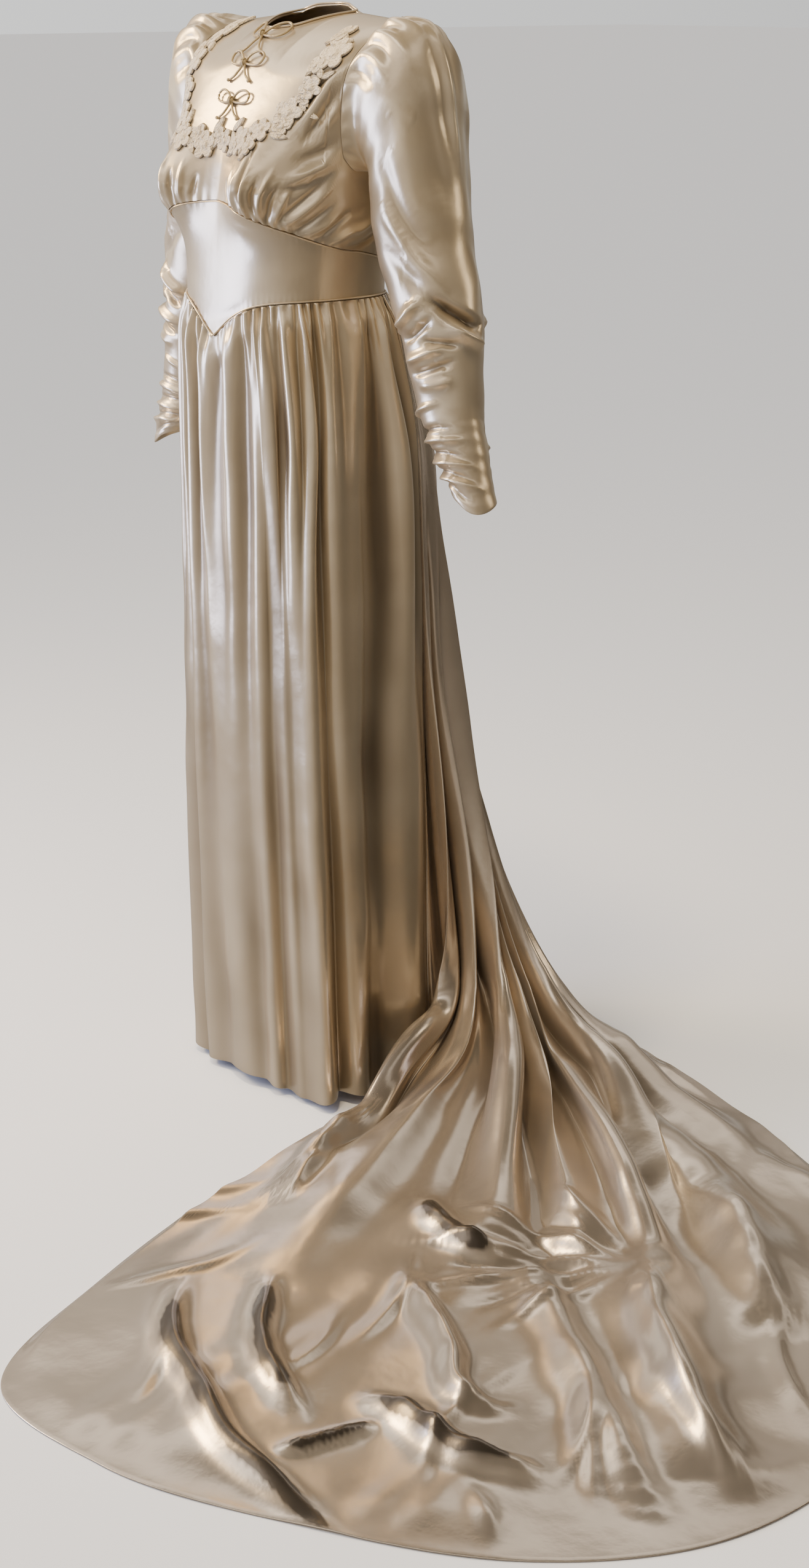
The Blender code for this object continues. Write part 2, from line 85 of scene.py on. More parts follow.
# Top edge of the bodice: angle, height. The shoulder seam runs from 12.5 to 50 and from 130 to 167.5.
TOP_EDGE = np.array((
    (0.0, 1.43), (6.0, 1.434), (12.5, 1.45), (50.0, 1.439),
    (58.0, 1.415), (66.0, 1.375), (74.0, 1.32), (82.0, 1.278), (90.0, 1.26),
    (98.0, 1.256), (106.0, 1.272), (114.0, 1.318), (122.0, 1.383), (130.0, 1.439),
    (167.5, 1.45), (174.0, 1.458), (180.0, 1.46),
)).T
BUST_SEAM = np.array(((0, 1.221), (18, 1.214), (45, 1.192), (90, 1.16), (135, 1.142), (180, 1.138))).T

# Valleys between the folds of the skirt: angle, width, depth at the hip, depth at the hem
FOLDS = np.array((
    (-78, 7.0, 0.007, 0.012), (-52, 8.0, 0.009, 0.015), (-27, 7.0, 0.01, 0.014),
    (-6, 6.0, 0.006, 0.01), (15, 6.0, 0.008, 0.012), (29, 5.5, 0.012, 0.018),
    (52, 11.0, -0.003, -0.026), (43, 4.5, 0.008, 0.009), (66, 6.0, 0.016, 0.024), (93, 6.0, 0.014, 0.022),
    (118, 7.0, 0.01, 0.018), (145, 9.0, 0.012, 0.02), (176, 9.0, 0.013, 0.022),
    (207, 9.0, 0.012, 0.02), (240, 9.0, 0.01, 0.016),
))

# The back panel: share of its hem, angle at the waist, knee_x, knee_y, end_x, end_y
TRAIN = np.array((
    (0.0, 118.18, 0.167, 0.119, 0.196, 0.112),
    (0.04, 120, 0.18, 0.13, 0.232, -0.01),
    (0.07, 122, 0.19, 0.14, 0.232, -0.15),
    (0.1, 124, 0.2, 0.15, 0.298, -0.4),
    (0.13, 126, 0.208, 0.16, 0.385, -0.605),
    (0.17, 129, 0.216, 0.172, 0.5, -0.806),
    (0.22, 133, 0.224, 0.186, 0.72, -0.822),
    (0.28, 138, 0.23, 0.204, 0.95, -0.727),
    (0.34, 143, 0.234, 0.226, 1.13, -0.605),
    (0.41, 149, 0.235, 0.252, 1.243, -0.4),
    (0.48, 156, 0.232, 0.284, 1.205, -0.13),
    (0.55, 163, 0.224, 0.318, 1.02, 0.12),
    (0.62, 171, 0.208, 0.352, 0.74, 0.286),
    (0.69, 181, 0.17, 0.384, 0.37, 0.388),
    (0.77, 194, 0.055, 0.362, 0.105, 0.412),
    (0.85, 213, -0.08, 0.272, -0.09, 0.31),
    (0.93, 235, -0.148, 0.165, -0.164, 0.192),
    (1.0, 254.82, -0.178, 0.08, -0.186, 0.086),
)).T

# Rings of the left sleeve below its armhole: outer_x, outer_height, inner_x, inner_height, y, half_depth
SLEEVE = np.array((
    (0.196, 1.446, 0.157, 1.256, 0.03, 0.06),
    (0.232, 1.44, 0.16, 1.25, 0.036, 0.066),
    (0.256, 1.414, 0.161, 1.24, 0.04, 0.068),
    (0.266, 1.37, 0.16, 1.225, 0.043, 0.068),
    (0.269, 1.318, 0.1595, 1.205, 0.044, 0.067),
    (0.2735, 1.265, 0.161, 1.18, 0.044, 0.066),
    (0.281, 1.215, 0.168, 1.15, 0.044, 0.063),
    (0.289, 1.17, 0.178, 1.12, 0.044, 0.059),
    (0.304, 1.125, 0.194, 1.085, 0.043, 0.056),
    (0.314, 1.085, 0.208, 1.05, 0.043, 0.052),
    (0.318, 1.04, 0.221, 1.01, 0.042, 0.047),
    (0.3205, 1.0, 0.235, 0.97, 0.042, 0.042),
    (0.326, 0.957, 0.2535, 0.932, 0.041, 0.037),
    (0.34, 0.91, 0.279, 0.892, 0.04, 0.031),
    (0.358, 0.858, 0.301, 0.872, 0.038, 0.027),
))

RING_STEP = 45            # about how far apart the rings are, in millimetres

# Centre line of the lace wreath, one half: x, height
WREATH = np.array(((0.0, 1.3), (0.05, 1.295), (0.092, 1.307), (0.119, 1.335),
                   (0.132, 1.37), (0.134, 1.4), (0.128, 1.425))).T
BOW_HEIGHTS = dict(bow_top=1.4215, bow_middle=1.388, bow_bottom=1.342)

# ---------------------------------------------------------------- creases placed one by one
# Their half widths, lifts and bends are in millimetres. A negative lift is a trough.
# Bodice: each crease runs from (angle, height) to (angle, height), half_width, lift, bend. Angles are
# degrees from the centre front, to the wearer's left.
BODICE_CREASES = (
    # gathers over the left bust
    (9, 1.214, 5, 1.25, 3.6, -3.4, 0), (13, 1.212, 11, 1.272, 3.8, 3.8, 0),
    (17, 1.21, 16, 1.256, 3.4, -5, 0), (21, 1.209, 21, 1.268, 3.8, 4.2, 0),
    (26, 1.206, 26, 1.3, 3.8, -6.8, 3), (30, 1.203, 32, 1.27, 3.8, 5, 2),
    (34, 1.2, 39, 1.262, 3.6, -5.8, 4), (37, 1.198, 45, 1.268, 3.8, 4.8, 5),
    (40, 1.195, 51, 1.254, 3.8, -5.4, 6), (43, 1.193, 58, 1.25, 4, 4.4, 6),
    # gathers over the right bust
    (-12, 1.213, -9, 1.256, 3.6, -3.8, 0), (-17, 1.211, -16, 1.275, 3.8, 3.8, 0),
    (-22, 1.208, -23, 1.262, 3.6, -5.8, 0), (-27, 1.206, -30, 1.285, 3.8, 4.8, 2),
    (-32, 1.202, -37, 1.268, 3.6, -6.2, 3), (-37, 1.198, -46, 1.262, 3.8, 4.8, 4),
    (-42, 1.194, -54, 1.25, 3.8, -5, 5),
    # long drag folds from the bust seam to the armhole
    (45, 1.19, 83, 1.25, 4.6, 5.2, 7), (44, 1.196, 80, 1.264, 4.6, -4.4, 7),
    (50, 1.183, 85, 1.228, 4.4, -4.6, 6), (56, 1.18, 88, 1.21, 4.4, 3.6, 5),
    (66, 1.174, 96, 1.222, 4.4, -3.6, 5), (74, 1.168, 106, 1.208, 4.6, 4.6, 4),
    (84, 1.161, 112, 1.188, 4.4, -4, 3), (46, 1.248, 84, 1.282, 8.5, 4.2, 4),
    (50, 1.272, 80, 1.302, 8, -4, 3), (44, 1.232, 82, 1.268, 7, -3.4, 4),
    (-48, 1.19, -80, 1.24, 6, 6.5, 6), (-50, 1.184, -84, 1.222, 5.5, -6, 5),
    (-74, 1.17, -102, 1.204, 5.5, 6, 4), (-60, 1.264, -80, 1.276, 9, 5, 3),
    # slanting folds from the bust up to the shoulder
    (44, 1.3, 60, 1.4, 8, 5, 4), (40, 1.318, 53, 1.408, 6, -5.2, 3), (52, 1.29, 67, 1.372, 8, -6, 4),
    (58, 1.3, 70, 1.35, 8, 4, 2), (-44, 1.3, -60, 1.396, 8, 4.8, 4), (-52, 1.29, -66, 1.37, 8, -5.6, 4),
    # back
    (112, 1.15, 120, 1.25, 8, -4.5, 4), (-114, 1.15, -122, 1.246, 8, -4.5, 4),
    (140, 1.146, 132, 1.236, 9, 4, 3), (-138, 1.146, -130, 1.24, 9, 4, 3),
    (160, 1.2, 136, 1.36, 12, -4, 4), (-158, 1.205, -137, 1.365, 12, -4, 4),
)
MIDRIFF_CREASES = (
    (-6, 1.07, 26, 1.098, 8, -2.2, 2), (-26, 1.092, -8, 1.07, 7, -1.8, 2),
    (8, 1.205, 40, 1.186, 6, -1, 1),
)
# Sleeve: from (turn, ring) to (turn, ring), half_width, lift, bend. Turn 0 is the outer side, 90 the
# front, 180 the inner side. Ring 0 is the armhole and ring 15 the cuff.
SLEEVE_CREASES = (
    # gathered head
    (-58, 0, -40, 2.3, 5, 5, 0), (-46, 0, -28, 2, 4.5, -6, 0), (-33, 0, -20, 2.8, 5, 6, 0),
    (-21, 0, -12, 2, 4.2, -6.5, 0), (-10, 0, -6, 3.2, 5, 6, 0), (1, 0, 3, 2.2, 4.2, -7, 0),
    (11, 0, 15, 3.4, 5, 6.5, 0), (22, 0, 28, 2.3, 4.2, -7, 0), (32, 0, 40, 3.6, 5, 6, 0),
    (43, 0, 52, 2.6, 4.5, -6.5, 0), (54, 0, 64, 3.2, 5, 5, 0), (66, 0, 78, 2.4, 4.8, -5, 0),
    # the long crease down the outside and the folds beside it
    (6, 1.6, -16, 6.4, 4.2, 6, 4), (16, 1.8, -4, 6, 6, -6, 4), (36, 3, 4, 7.2, 11, -5.5, 6),
    (62, 3, 46, 7, 12, 5, 4), (88, 4.2, 40, 8.4, 10, -6.5, 8), (96, 5.6, 26, 9.2, 9, 8.5, 10),
    (104, 7, 50, 9, 8, -6, 4), (-40, 3, -44, 7.6, 9, -5, 0),
    # elbow
    (124, 9.6, 60, 8.9, 7, 8, 10), (60, 8.9, -30, 10.2, 8, -10.5, 12), (118, 10.1, 50, 9.6, 6, -7, 8),
    (40, 9.9, -34, 10.7, 7, 7.5, 6), (122, 10.7, 36, 10.5, 6, 6, 4), (116, 11.1, 24, 11, 5, -5.5, 4),
    (84, 10.2, 10, 10.6, 5, -5, 3), (100, 11.5, 30, 11.6, 6, 3.5, 3), (200, 9.3, 140, 9.7, 7, 6, 4),
    (220, 9.9, 150, 10.3, 6, -6, 4), (250, 9.4, 310, 10, 7, 6, 6), (240, 10.2, 320, 10.6, 6, -6, 6),
    # ruching fanned from the buttons at the wrist
    (172, 12.5, 60, 12.2, 3.6, 4.2, -6), (172, 12.9, 40, 13, 3.4, -4, -5),
    (172, 13.1, 20, 13.4, 3.6, 4.6, -4), (172, 13.4, 30, 13.8, 3.2, -4.2, -4),
    (172, 13.6, 10, 14.1, 3.4, 4.6, -3), (172, 13.9, 20, 14.4, 3, -4, -3),
    (172, 14.1, 0, 14.6, 3.2, 4.2, -2), (172, 14.4, 30, 14.8, 2.8, -3.4, -2),
    (188, 12.6, 300, 12.4, 3.6, 4, 5), (188, 13, 320, 13.2, 3.4, -3.8, 4),
    (188, 13.4, 330, 13.6, 3.4, 4.2, 4), (188, 13.8, 320, 14.1, 3, -3.8, 3),
    (188, 14.2, 300, 14.5, 3, 3.6, 2),
)
# Folds lying on the train: half_width, lift, lean, then the points (x, y) of its run over the floor.
# Lean steepens one flank. The crowns of the mirrored rolls are painted in the satin's darkest tone, a painted
# dark reflection, with a painted highlight low on their flanks.
MIRRORED = ("long_roll", "hook_roll", "cross_roll", "middle_roll", "crescent")
TRAIN_ROLLS = dict(
    long_roll=(18.5, 20.5, 0.25, ((0.43, -0.49), (0.49, -0.559), (0.574, -0.624), (0.685, -0.666),
        (0.782, -0.702), (0.861, -0.708), (0.939, -0.714), (1.002, -0.712), (1.07, -0.68))),
    hook_roll=(16.5, 19, 0.25, ((0.5, -0.43), (0.567, -0.486), (0.625, -0.536), (0.673, -0.566),
        (0.732, -0.588), (0.81, -0.616))),
    cross_roll=(13, 11, 0.1, ((0.826, -0.68), (0.836, -0.64), (0.845, -0.59), (0.852, -0.545))),
    middle_roll=(18.5, 21, 0.25, ((0.78, -0.535), (0.817, -0.523), (0.854, -0.52), (0.918, -0.529),
        (0.971, -0.527), (1.014, -0.505), (1.06, -0.48))),
    slim_roll=(15, 24, 0.2, ((0.61, -0.3), (0.662, -0.335), (0.736, -0.371), (0.806, -0.407),
        (0.88, -0.452), (0.915, -0.44), (0.93, -0.405))),
    crescent=(17, 17, 0.2, ((0.48, -0.165), (0.53, -0.196), (0.6, -0.212), (0.677, -0.203))),
    pinch_roll=(22, 26, -0.2, ((0.8, -0.085), (0.86, -0.15), (0.926, -0.206), (1, -0.252),
        (1.053, -0.283), (1.145, -0.329), (1.216, -0.354))),
    side_roll=(26, 22.1, 0.2, ((0.65, -0.16), (0.74, -0.214), (0.863, -0.281), (0.993, -0.354),
        (1.11, -0.421), (1.214, -0.459))),
    near_fold=(22, 22.2, 0.3, ((0.24, -0.06), (0.275, -0.15), (0.32, -0.23), (0.38, -0.32))),
    back_roll=(30, 22.1, 0.2, ((0.7, 0.11), (0.8, 0.06), (0.9, -0.01), (1.02, -0.08))),
)
# Folds falling with the back panel: share at the top, at the foot and of its half width, lift, first row,
# last row. Row 1 is the knee.
FALL_FOLDS = (
    (0.028, 0.046, 0.013, -20, 0.1, 1.45), (0.066, 0.098, 0.018, 24, 0.35, 1.6),
    (0.112, 0.156, 0.014, -22, 0.2, 1.55), (0.152, 0.214, 0.02, 22, 0.4, 1.62),
    (0.2, 0.278, 0.014, -24, 0.3, 1.5), (0.246, 0.32, 0.021, 36, 0.2, 1.55),
    (0.29, 0.356, 0.012, -30, 0.16, 1.62), (0.328, 0.384, 0.015, 22, 0.35, 1.72),
    (0.352, 0.408, 0.01, -18, 0.3, 1.66), (0.378, 0.428, 0.014, 24, 0.3, 1.78),
    (0.412, 0.452, 0.012, -22, 0.18, 1.74), (0.452, 0.492, 0.024, 22, 0.35, 1.75),
    (0.505, 0.534, 0.015, -18, 0.24, 1.7), (0.56, 0.59, 0.03, 16, 0.3, 1.85),
    (0.63, 0.65, 0.018, -14, 0.2, 1.75), (0.7, 0.715, 0.028, 14, 0.3, 1.85),
    (0.77, 0.778, 0.022, -12, 0.2, 1.8), (0.86, 0.862, 0.026, 12, 0.25, 1.85),
    (0.93, 0.93, 0.022, -10, 0.2, 1.8),
)
# Large soft folds of the train, as the frame has them: from (x, y) to (x, y), half_width, height, in metres
TRAIN_FOLDS = (
    (0.205, 0.15, 0.236, -0.06, 0.036, 0.075), (0.28, 0.16, 0.46, -0.03, 0.044, 0.06),
    (0.3, 0.28, 0.78, -0.08, 0.048, 0.05), (0.8, -0.1, 1.15, -0.38, 0.045, 0.03),
    (0.56, 0.2, 1, -0.02, 0.042, 0.024), (0.4, -0.24, 0.52, -0.46, 0.05, 0.014),
)
# Long slight creases of the lying train: from (x, y) to (x, y), bend as a share of the run, half_width, lift
TRAIN_CREASES = (
    (0.56, -0.26, 0.7, -0.48, 0.1, 12, 7), (0.36, -0.33, 0.3, -0.56, -0.12, 14, 6),
    (0.42, -0.36, 0.4, -0.64, 0.1, 12, 5.5), (0.9, -0.3, 1.08, -0.54, 0.1, 13, 7.5),
    (0.96, -0.3, 1.15, -0.5, -0.08, 11, 6.5), (0.86, -0.34, 1, -0.62, -0.1, 12, 6),
    (0.62, -0.42, 0.7, -0.6, 0.12, 10, 4.5), (0.56, -0.64, 0.66, -0.76, 0.1, 12, 4.5),
    (0.98, -0.56, 1.12, -0.64, 0.14, 11, 5), (0.9, 0.06, 1.15, -0.12, 0.08, 14, 8),
    (0.95, -0.02, 1.19, -0.21, -0.08, 12, 7.5), (0.92, 0.14, 1.13, 0.02, 0.06, 13, 6.5),
    (0.3, -0.22, 0.18, -0.47, 0.14, 15, 5), (0.64, 0.25, 0.86, 0.21, 0.08, 14, 6.5),
)
# Wrinkles drawn to the pinch in the train: angle over the floor, start, end, half_width, lift
PINCH = dict(x=0.812, y=-0.1)
PINCH_WRINKLES = (
    (172, 0.03, 0.24, 8, -5.5), (184, 0.03, 0.3, 8.5, 8.5), (194, 0.03, 0.26, 8, -6),
    (204, 0.03, 0.32, 8.5, 8.5), (215, 0.03, 0.27, 8, -6), (227, 0.03, 0.3, 9, 8),
    (241, 0.03, 0.25, 9, -5.5), (160, 0.03, 0.28, 9.5, 7), (256, 0.04, 0.24, 9.5, 6.5),
)


# ---------------------------------------------------------------- the garment's forms
def follow(where, knots, values):
    """A smooth curve through the values at the knots: cubic steps with the slopes of their neighbours."""
    where, knots, values = (np.asarray(each, float) for each in (where, knots, values))
    slopes = np.gradient(values, knots, axis=0)
    row = np.clip(np.searchsorted(knots, where, side="right") - 1, 0, len(knots) - 2)
    step = knots[row + 1] - knots[row]
    t = np.clip((where - knots[row]) / step, 0.0, 1.0)
    spare = (1,) * (values.ndim - 1)
    step, t = step.reshape(step.shape + spare), t.reshape(t.shape + spare)
    return (
        values[row] * (1 + 2 * t) * (1 - t) ** 2
        + values[row + 1] * t * t * (3 - 2 * t)
        + step * (slopes[row] * t * (1 - t) ** 2 - slopes[row + 1] * t * t * (1 - t))
    )


def ease(x):
    """0 below 0, 1 above 1, and a smooth step between."""
    t = np.clip(x, 0.0, 1.0)
    return t * t * (3 - 2 * t)


def bump(x):
    """A bell: 1 at 0, and about a third at 1 either side."""
    return np.exp(-np.square(x))


def unit(vectors):
    return vectors / np.maximum(np.linalg.norm(vectors, axis=-1, keepdims=True), 1e-9)


def turn_from(place, angle):
    """Degrees round from place to angle: -180 to 180."""
    return (np.asarray(angle, float) - place + 180.0) % 360.0 - 180.0


def from_front(angle):
    """Degrees from the centre front, whichever way round: 0 to 180."""
    return np.abs(turn_from(0.0, angle))


def shoulder_height(x):
    """Height of the shoulder seam at this distance from the centre."""
    return np.interp(np.abs(x), (0.0, 0.060, 0.175), (1.470, 1.4500, 1.4390))


def section_point(angle, height, table):
    """Plan position on a section: a squared ellipse with its own front and back depth."""
    knots, half_width, front, back = table
    sine, cosine = np.sin(np.radians(angle)), np.cos(np.radians(angle))
    depth = np.where(cosine > 0, -follow(height, knots, front), follow(height, knots, back))
    x = follow(height, knots, half_width) * np.sign(sine) * np.abs(sine) ** SQUARE
    return x, depth * np.abs(cosine) ** SQUARE


def torso(angle, height):
    """The body of the gown: squared-ellipse sections, a bell at each bust, turned over at the shoulder."""
    angle, height = np.broadcast_arrays(np.asarray(angle, float), np.asarray(height, float))
    x, y = section_point(angle, height, BODY)
    front = np.cos(np.radians(angle)) > 0
    rise = np.where(height > BUST["height"], BUST["rise"] * 1.25, BUST["rise"])
    bell = bump((np.abs(x) - BUST["x"]) / BUST["width"]) * bump((height - BUST["height"]) / rise)
    y = y - np.where(front, BUST["depth"] * bell, 0.0)
    fall = np.clip((shoulder_height(x) - height) / SHOULDER_ROUND, 0.0, 1.0)
    y = SHOULDER_Y + (y - SHOULDER_Y) * np.sqrt(1 - (1 - fall) ** 2)
    return np.stack([x, y, height], axis=-1)


def top_edge(angle):
    """Height of the bodice's top edge, which follows the shoulder seam between neck and armhole."""
    turn = from_front(angle)
    height = np.interp(turn, *TOP_EDGE)
    shoulder = ((turn >= 12.5) & (turn <= 50.0)) | ((turn >= 130.0) & (turn <= 167.5))
    ridge = height
    for _ in range(8):
        ridge = shoulder_height(section_point(turn, ridge, BODY)[0])
    return np.where(shoulder, ridge, height)


def bust_seam(angle):
    """Height of the seam between the bodice and the midriff."""
    return follow(from_front(angle), *BUST_SEAM)


def waist_seam(angle):
    """Height of the seam between the midriff and the skirt, which comes to a point at the front."""
    turn = from_front(angle)
    return WAIST_SEAM["side"] - WAIST_SEAM["point"] * np.exp(-turn / WAIST_SEAM["spread"])


def skirt_point(angle, height):
    """The skirt: its sections, drawn in by a bell at each valley between the folds, deepening to the hem."""
    angle, height = np.broadcast_arrays(np.asarray(angle, float), np.asarray(height, float))
    x, y = section_point(angle, height, SKIRT)
    drop = np.clip((waist_seam(angle) - height) / 0.25, 0.0, 1.0)
    share = np.clip(1 - height / 0.85, 0.0, 1.0)
    inward = np.zeros_like(x)
    for place, width, at_hip, at_hem in FOLDS:
        inward += (at_hip + (at_hem - at_hip) * share) * bump(turn_from(place, angle) / width)
    scale = 1 - inward * drop / np.hypot(x, y)
    return np.stack([x * scale, y * scale, height], axis=-1)


def large_folds(x, y):
    """Height of the large folds over the floor: the highest of soft ridges, each a bell along a line."""
    rise = np.zeros_like(x)
    for x0, y0, x1, y1, half_width, height in TRAIN_FOLDS:
        run = np.array((x1 - x0, y1 - y0))
        along = np.clip(((x - x0) * run[0] + (y - y0) * run[1]) / (run @ run), 0.0, 1.0)
        away = np.hypot(x - x0 - along * run[0], y - y0 - along * run[1])
        bell = height * (1 - 0.9 * along ** 3) * bump(away / half_width)
        rise = (rise ** 4 + bell ** 4) ** 0.25
    return rise


def back_panel(share, row):
    """Skirt back and train. Rows 0 to 1 fall from the waist to the floor, 1 to 2 lie on it to the hem."""
    share, row = np.broadcast_arrays(share, row)
    knots = TRAIN[0]
    angle, knee_x, knee_y, end_x, end_y = (follow(share, knots, column) for column in TRAIN[1:])
    fall = np.clip(row, 0.0, 1.0)
    height = waist_seam(angle) * (1 - fall) + WALL * fall
    hung = skirt_point(angle, height)
    foot = skirt_point(angle, WALL)
    free = np.clip(share / knots[1], 0, 1) * np.clip((1 - share) / (1 - knots[-2]), 0, 1)
    knee_x = foot[..., 0] * (1 - free) + knee_x * free
    knee_y = foot[..., 1] * (1 - free) + knee_y * free
    leave = np.clip(1 - height / FALL_HEIGHT, 0.0, 1.0) ** FALL_CURVE
    lie = np.clip(row - 1.0, 0.0, 1.0)
    x = hung[..., 0] * (1 - leave) + knee_x * leave + (end_x - knee_x) * lie
    y = hung[..., 1] * (1 - leave) + knee_y * leave + (end_y - knee_y) * lie
    inside = ease((row - 0.86) / 0.24)
    return np.stack([x, y, height + large_folds(x, y) * inside], axis=-1)


def sleeve_form(ring, turn):
    """The left sleeve at these rings and turns: a smooth curve through its ellipses and the armhole edge."""
    edge = np.interp(turn, (0, 36, 324, 360), (50, 58, 122, 130))
    armhole = torso(edge, top_edge(edge))
    armhole[:, 0] += 0.0012
    rings = [armhole]
    for outer_x, outer_h, inner_x, inner_h, y, half_depth in SLEEVE:
        outer, inner = np.array((outer_x, y, outer_h)), np.array((inner_x, y, inner_h))
        around = (outer + inner) / 2 + np.cos(np.radians(turn))[:, None] * (outer - inner) / 2
        around[:, 1] -= half_depth * np.sin(np.radians(turn))
        rings.append(around)
    return follow(ring, np.arange(len(rings)), np.array(rings))


# ---------------------------------------------------------------- cloth tools
def normals_of(points, around=False):
    """Unit normals of a grid of points: the cross of its column and row steps."""
    if around:
        beside = np.roll(points, -1, axis=1) - np.roll(points, 1, axis=1)
    else:
        beside = np.gradient(points, axis=1)
    return unit(np.cross(beside, np.gradient(points, axis=0)))


def soft_line(points, count=48):
    """A smooth run of evenly spaced points through these."""
    points = np.asarray(points, float)
    knots = np.concatenate([[0.0], np.cumsum(np.linalg.norm(np.diff(points, axis=0), axis=1))])
    return follow(np.linspace(0.0, knots[-1], count), knots, points)


def fold(points, line, half_width, lift, lean=0.0, ends=0.30, beat=0.0):
    """Rise of one soft fold: lift by a bell of the distance from its line, eased out at both ends."""
    reach = 3.0 * half_width
    near = np.all((points > line.min(0) - reach) & (points < line.max(0) + reach), axis=-1)
    rise = np.zeros(points.shape[:-1])
    if not near.any():
        return rise
    away = points[near][:, None, :] - line[None]
    closest = (away ** 2).sum(-1).argmin(1)
    run = unit(np.gradient(line, axis=0))[closest]
    away = away[np.arange(len(away)), closest]
    along = (away * run).sum(-1)
    inner = (closest > 0) & (closest < len(line) - 1)
    distance = np.sqrt(np.maximum((away ** 2).sum(-1) - np.where(inner, along ** 2, 0.0), 0.0))
    side = np.sign(away[:, 0] * run[:, 1] - away[:, 1] * run[:, 0])
    width = half_width * (1 + lean * side)
    share = closest / (len(line) - 1.0)
    taper = ease(np.minimum(share, 1 - share) / ends + 0.04)
    width = width * (1 + 0.8 * beat * np.sin(21 * share + 90 * half_width))
    taper = taper * (1 + beat * np.sin(33 * share + 500 * lift))
    rise[near] = lift * taper * bump(distance / width)
    return rise


def turned(points, normals, roll=0.0012, depth=0.012):
    """Adds a turned-in edge past the last row: a half roll, then a strip back along the inside."""
    out = unit(points[-1] - points[-2])
    rows = [points]
    for turn in np.radians((35, 75, 115, 150, 180)):
        rolled = points[-1] + out * roll * np.sin(turn) - normals[-1] * roll * (1 - np.cos(turn))
        rows.append(rolled[None])
    for back in (0.4, 1.0):
        rows.append((points[-1] - out * depth * back - normals[-1] * 2 * roll)[None])
    return np.concatenate(rows)


def quads(grid):
    """The four corners of each face of a grid, in order round it."""
    return np.stack([grid[:-1, :-1], grid[:-1, 1:], grid[1:, 1:], grid[1:, :-1]], axis=2)


def chart_of(columns, rows, wide, long):
    """The cloth map's corners of a grid's faces, wide by long."""
    place = np.meshgrid(np.linspace(0, wide, columns), np.linspace(0, long, rows))
    return quads(np.stack(place, axis=-1)).reshape(-1, 2)


def grid_mesh(name, points, material, around=False, span=(1.0, 1.0), depth=None):
    """A smooth mesh through a grid of points, with a cloth map span wide and long in metres.

    depth, where given, is how far each point stands out of or into its folds, which the cloth's material
    turns into painted shade deep in the folds."""
    rows, columns = points.shape[:2]
    index = np.arange(rows * columns).reshape(rows, columns)
    if around:
        index = np.concatenate([index, index[:, :1]], axis=1)
    chart = chart_of(index.shape[1], rows, *span)
    made = mesh_object(name, points.reshape(-1, 3), quads(index).reshape(-1, 4), chart, material)
    if depth is not None:
        full = np.zeros((rows, columns), np.float32)
        full[:len(depth)] = depth
        made.data.attributes.new("depth", "FLOAT", "POINT").data.foreach_set("value", full.ravel())
    return made


def mesh_object(name, points, corners, chart, material):
    """A mesh of four-cornered faces, lowered to the frame's origin and ridden on the gown."""
    mesh = bpy.data.meshes.new(name)
    mesh.vertices.add(len(points))
    lowered = np.asarray(points, float) - np.array((0.0, 0.0, HOLD))
    mesh.vertices.foreach_set("co", lowered.astype(np.float32).ravel())
    mesh.loops.add(corners.size)
    mesh.loops.foreach_set("vertex_index", corners.astype(np.int32).ravel())
    mesh.polygons.add(len(corners))
    mesh.polygons.foreach_set("loop_start", np.arange(0, corners.size, 4, dtype=np.int32))
    mesh.update(calc_edges=True)
    mesh.uv_layers.new(name="cloth").data.foreach_set("uv", chart.astype(np.float32).ravel())
    mesh.polygons.foreach_set("use_smooth", np.ones(len(corners), bool))
    mesh.materials.append(material)
    obj = bpy.data.objects.new(name, mesh)
    bpy.context.scene.collection.objects.link(obj)
    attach(obj, "root")
    return obj


def several(name, grids, material):
    """One mesh made of many small grids of points."""
    points, corners, chart, start = [], [], [], 0
    for grid in grids:
        rows, columns = grid.shape[:2]
        index = np.arange(rows * columns).reshape(rows, columns) + start
        points.append(grid.reshape(-1, 3))
        corners.append(quads(index).reshape(-1, 4))
        chart.append(chart_of(columns, rows, 0.02, 0.02))
        start += rows * columns
    return mesh_object(name, np.concatenate(points), np.concatenate(corners), np.concatenate(chart), material)


def tube(line, radius, sides=10, closed=False):
    """A round tube along a line of points: a circle at each, square to the run. Radius may vary."""
    if closed:
        run = unit(np.roll(line, -1, axis=0) - np.roll(line, 1, axis=0))
    else:
        run = unit(np.gradient(line, axis=0))
    up = np.where(np.abs(run[:, 2:]) > 0.9, np.array((0.0, 1.0, 0.0)), np.array((0.0, 0.0, 1.0)))
    side = unit(np.cross(run, up))
    up = np.cross(side, run)
    turn = np.linspace(0, 2 * np.pi, sides + 1)
    radius = np.broadcast_to(radius, len(line))[:, None, None]
    ring = side[:, None] * np.cos(turn)[None, :, None] + up[:, None] * np.sin(turn)[None, :, None]
    grid = line[:, None] + ring * radius
    return np.concatenate([grid, grid[:1]]) if closed else grid


def blob(centre, half_axes):
    """An ellipsoid with its half axes along x, y and z: a grid of latitudes by longitudes."""
    latitude = np.linspace(-np.pi / 2, np.pi / 2, 9)[:, None]
    turn = np.linspace(0, 2 * np.pi, 17)
    flat = np.cos(latitude)
    return centre + np.stack([flat * np.cos(turn), flat * np.sin(turn), np.sin(latitude) + 0 * turn],
                             axis=-1) * half_axes


# ---------------------------------------------------------------- materials
def add_node(tree, kind, values=(), **settings):
    """A new shader node with these settings and input values."""
    made = tree.nodes.new("ShaderNode" + kind)
    for name, value in settings.items():
        setattr(made, name, value)
    for socket, value in dict(values).items():
        made.inputs[socket].default_value = value
    return made


def join(tree, *wires):
    """Links nodes, each wire from (node, output) to (node, input)."""
    for source, output, target, socket in wires:
        tree.links.new(source.outputs[output], target.inputs[socket])


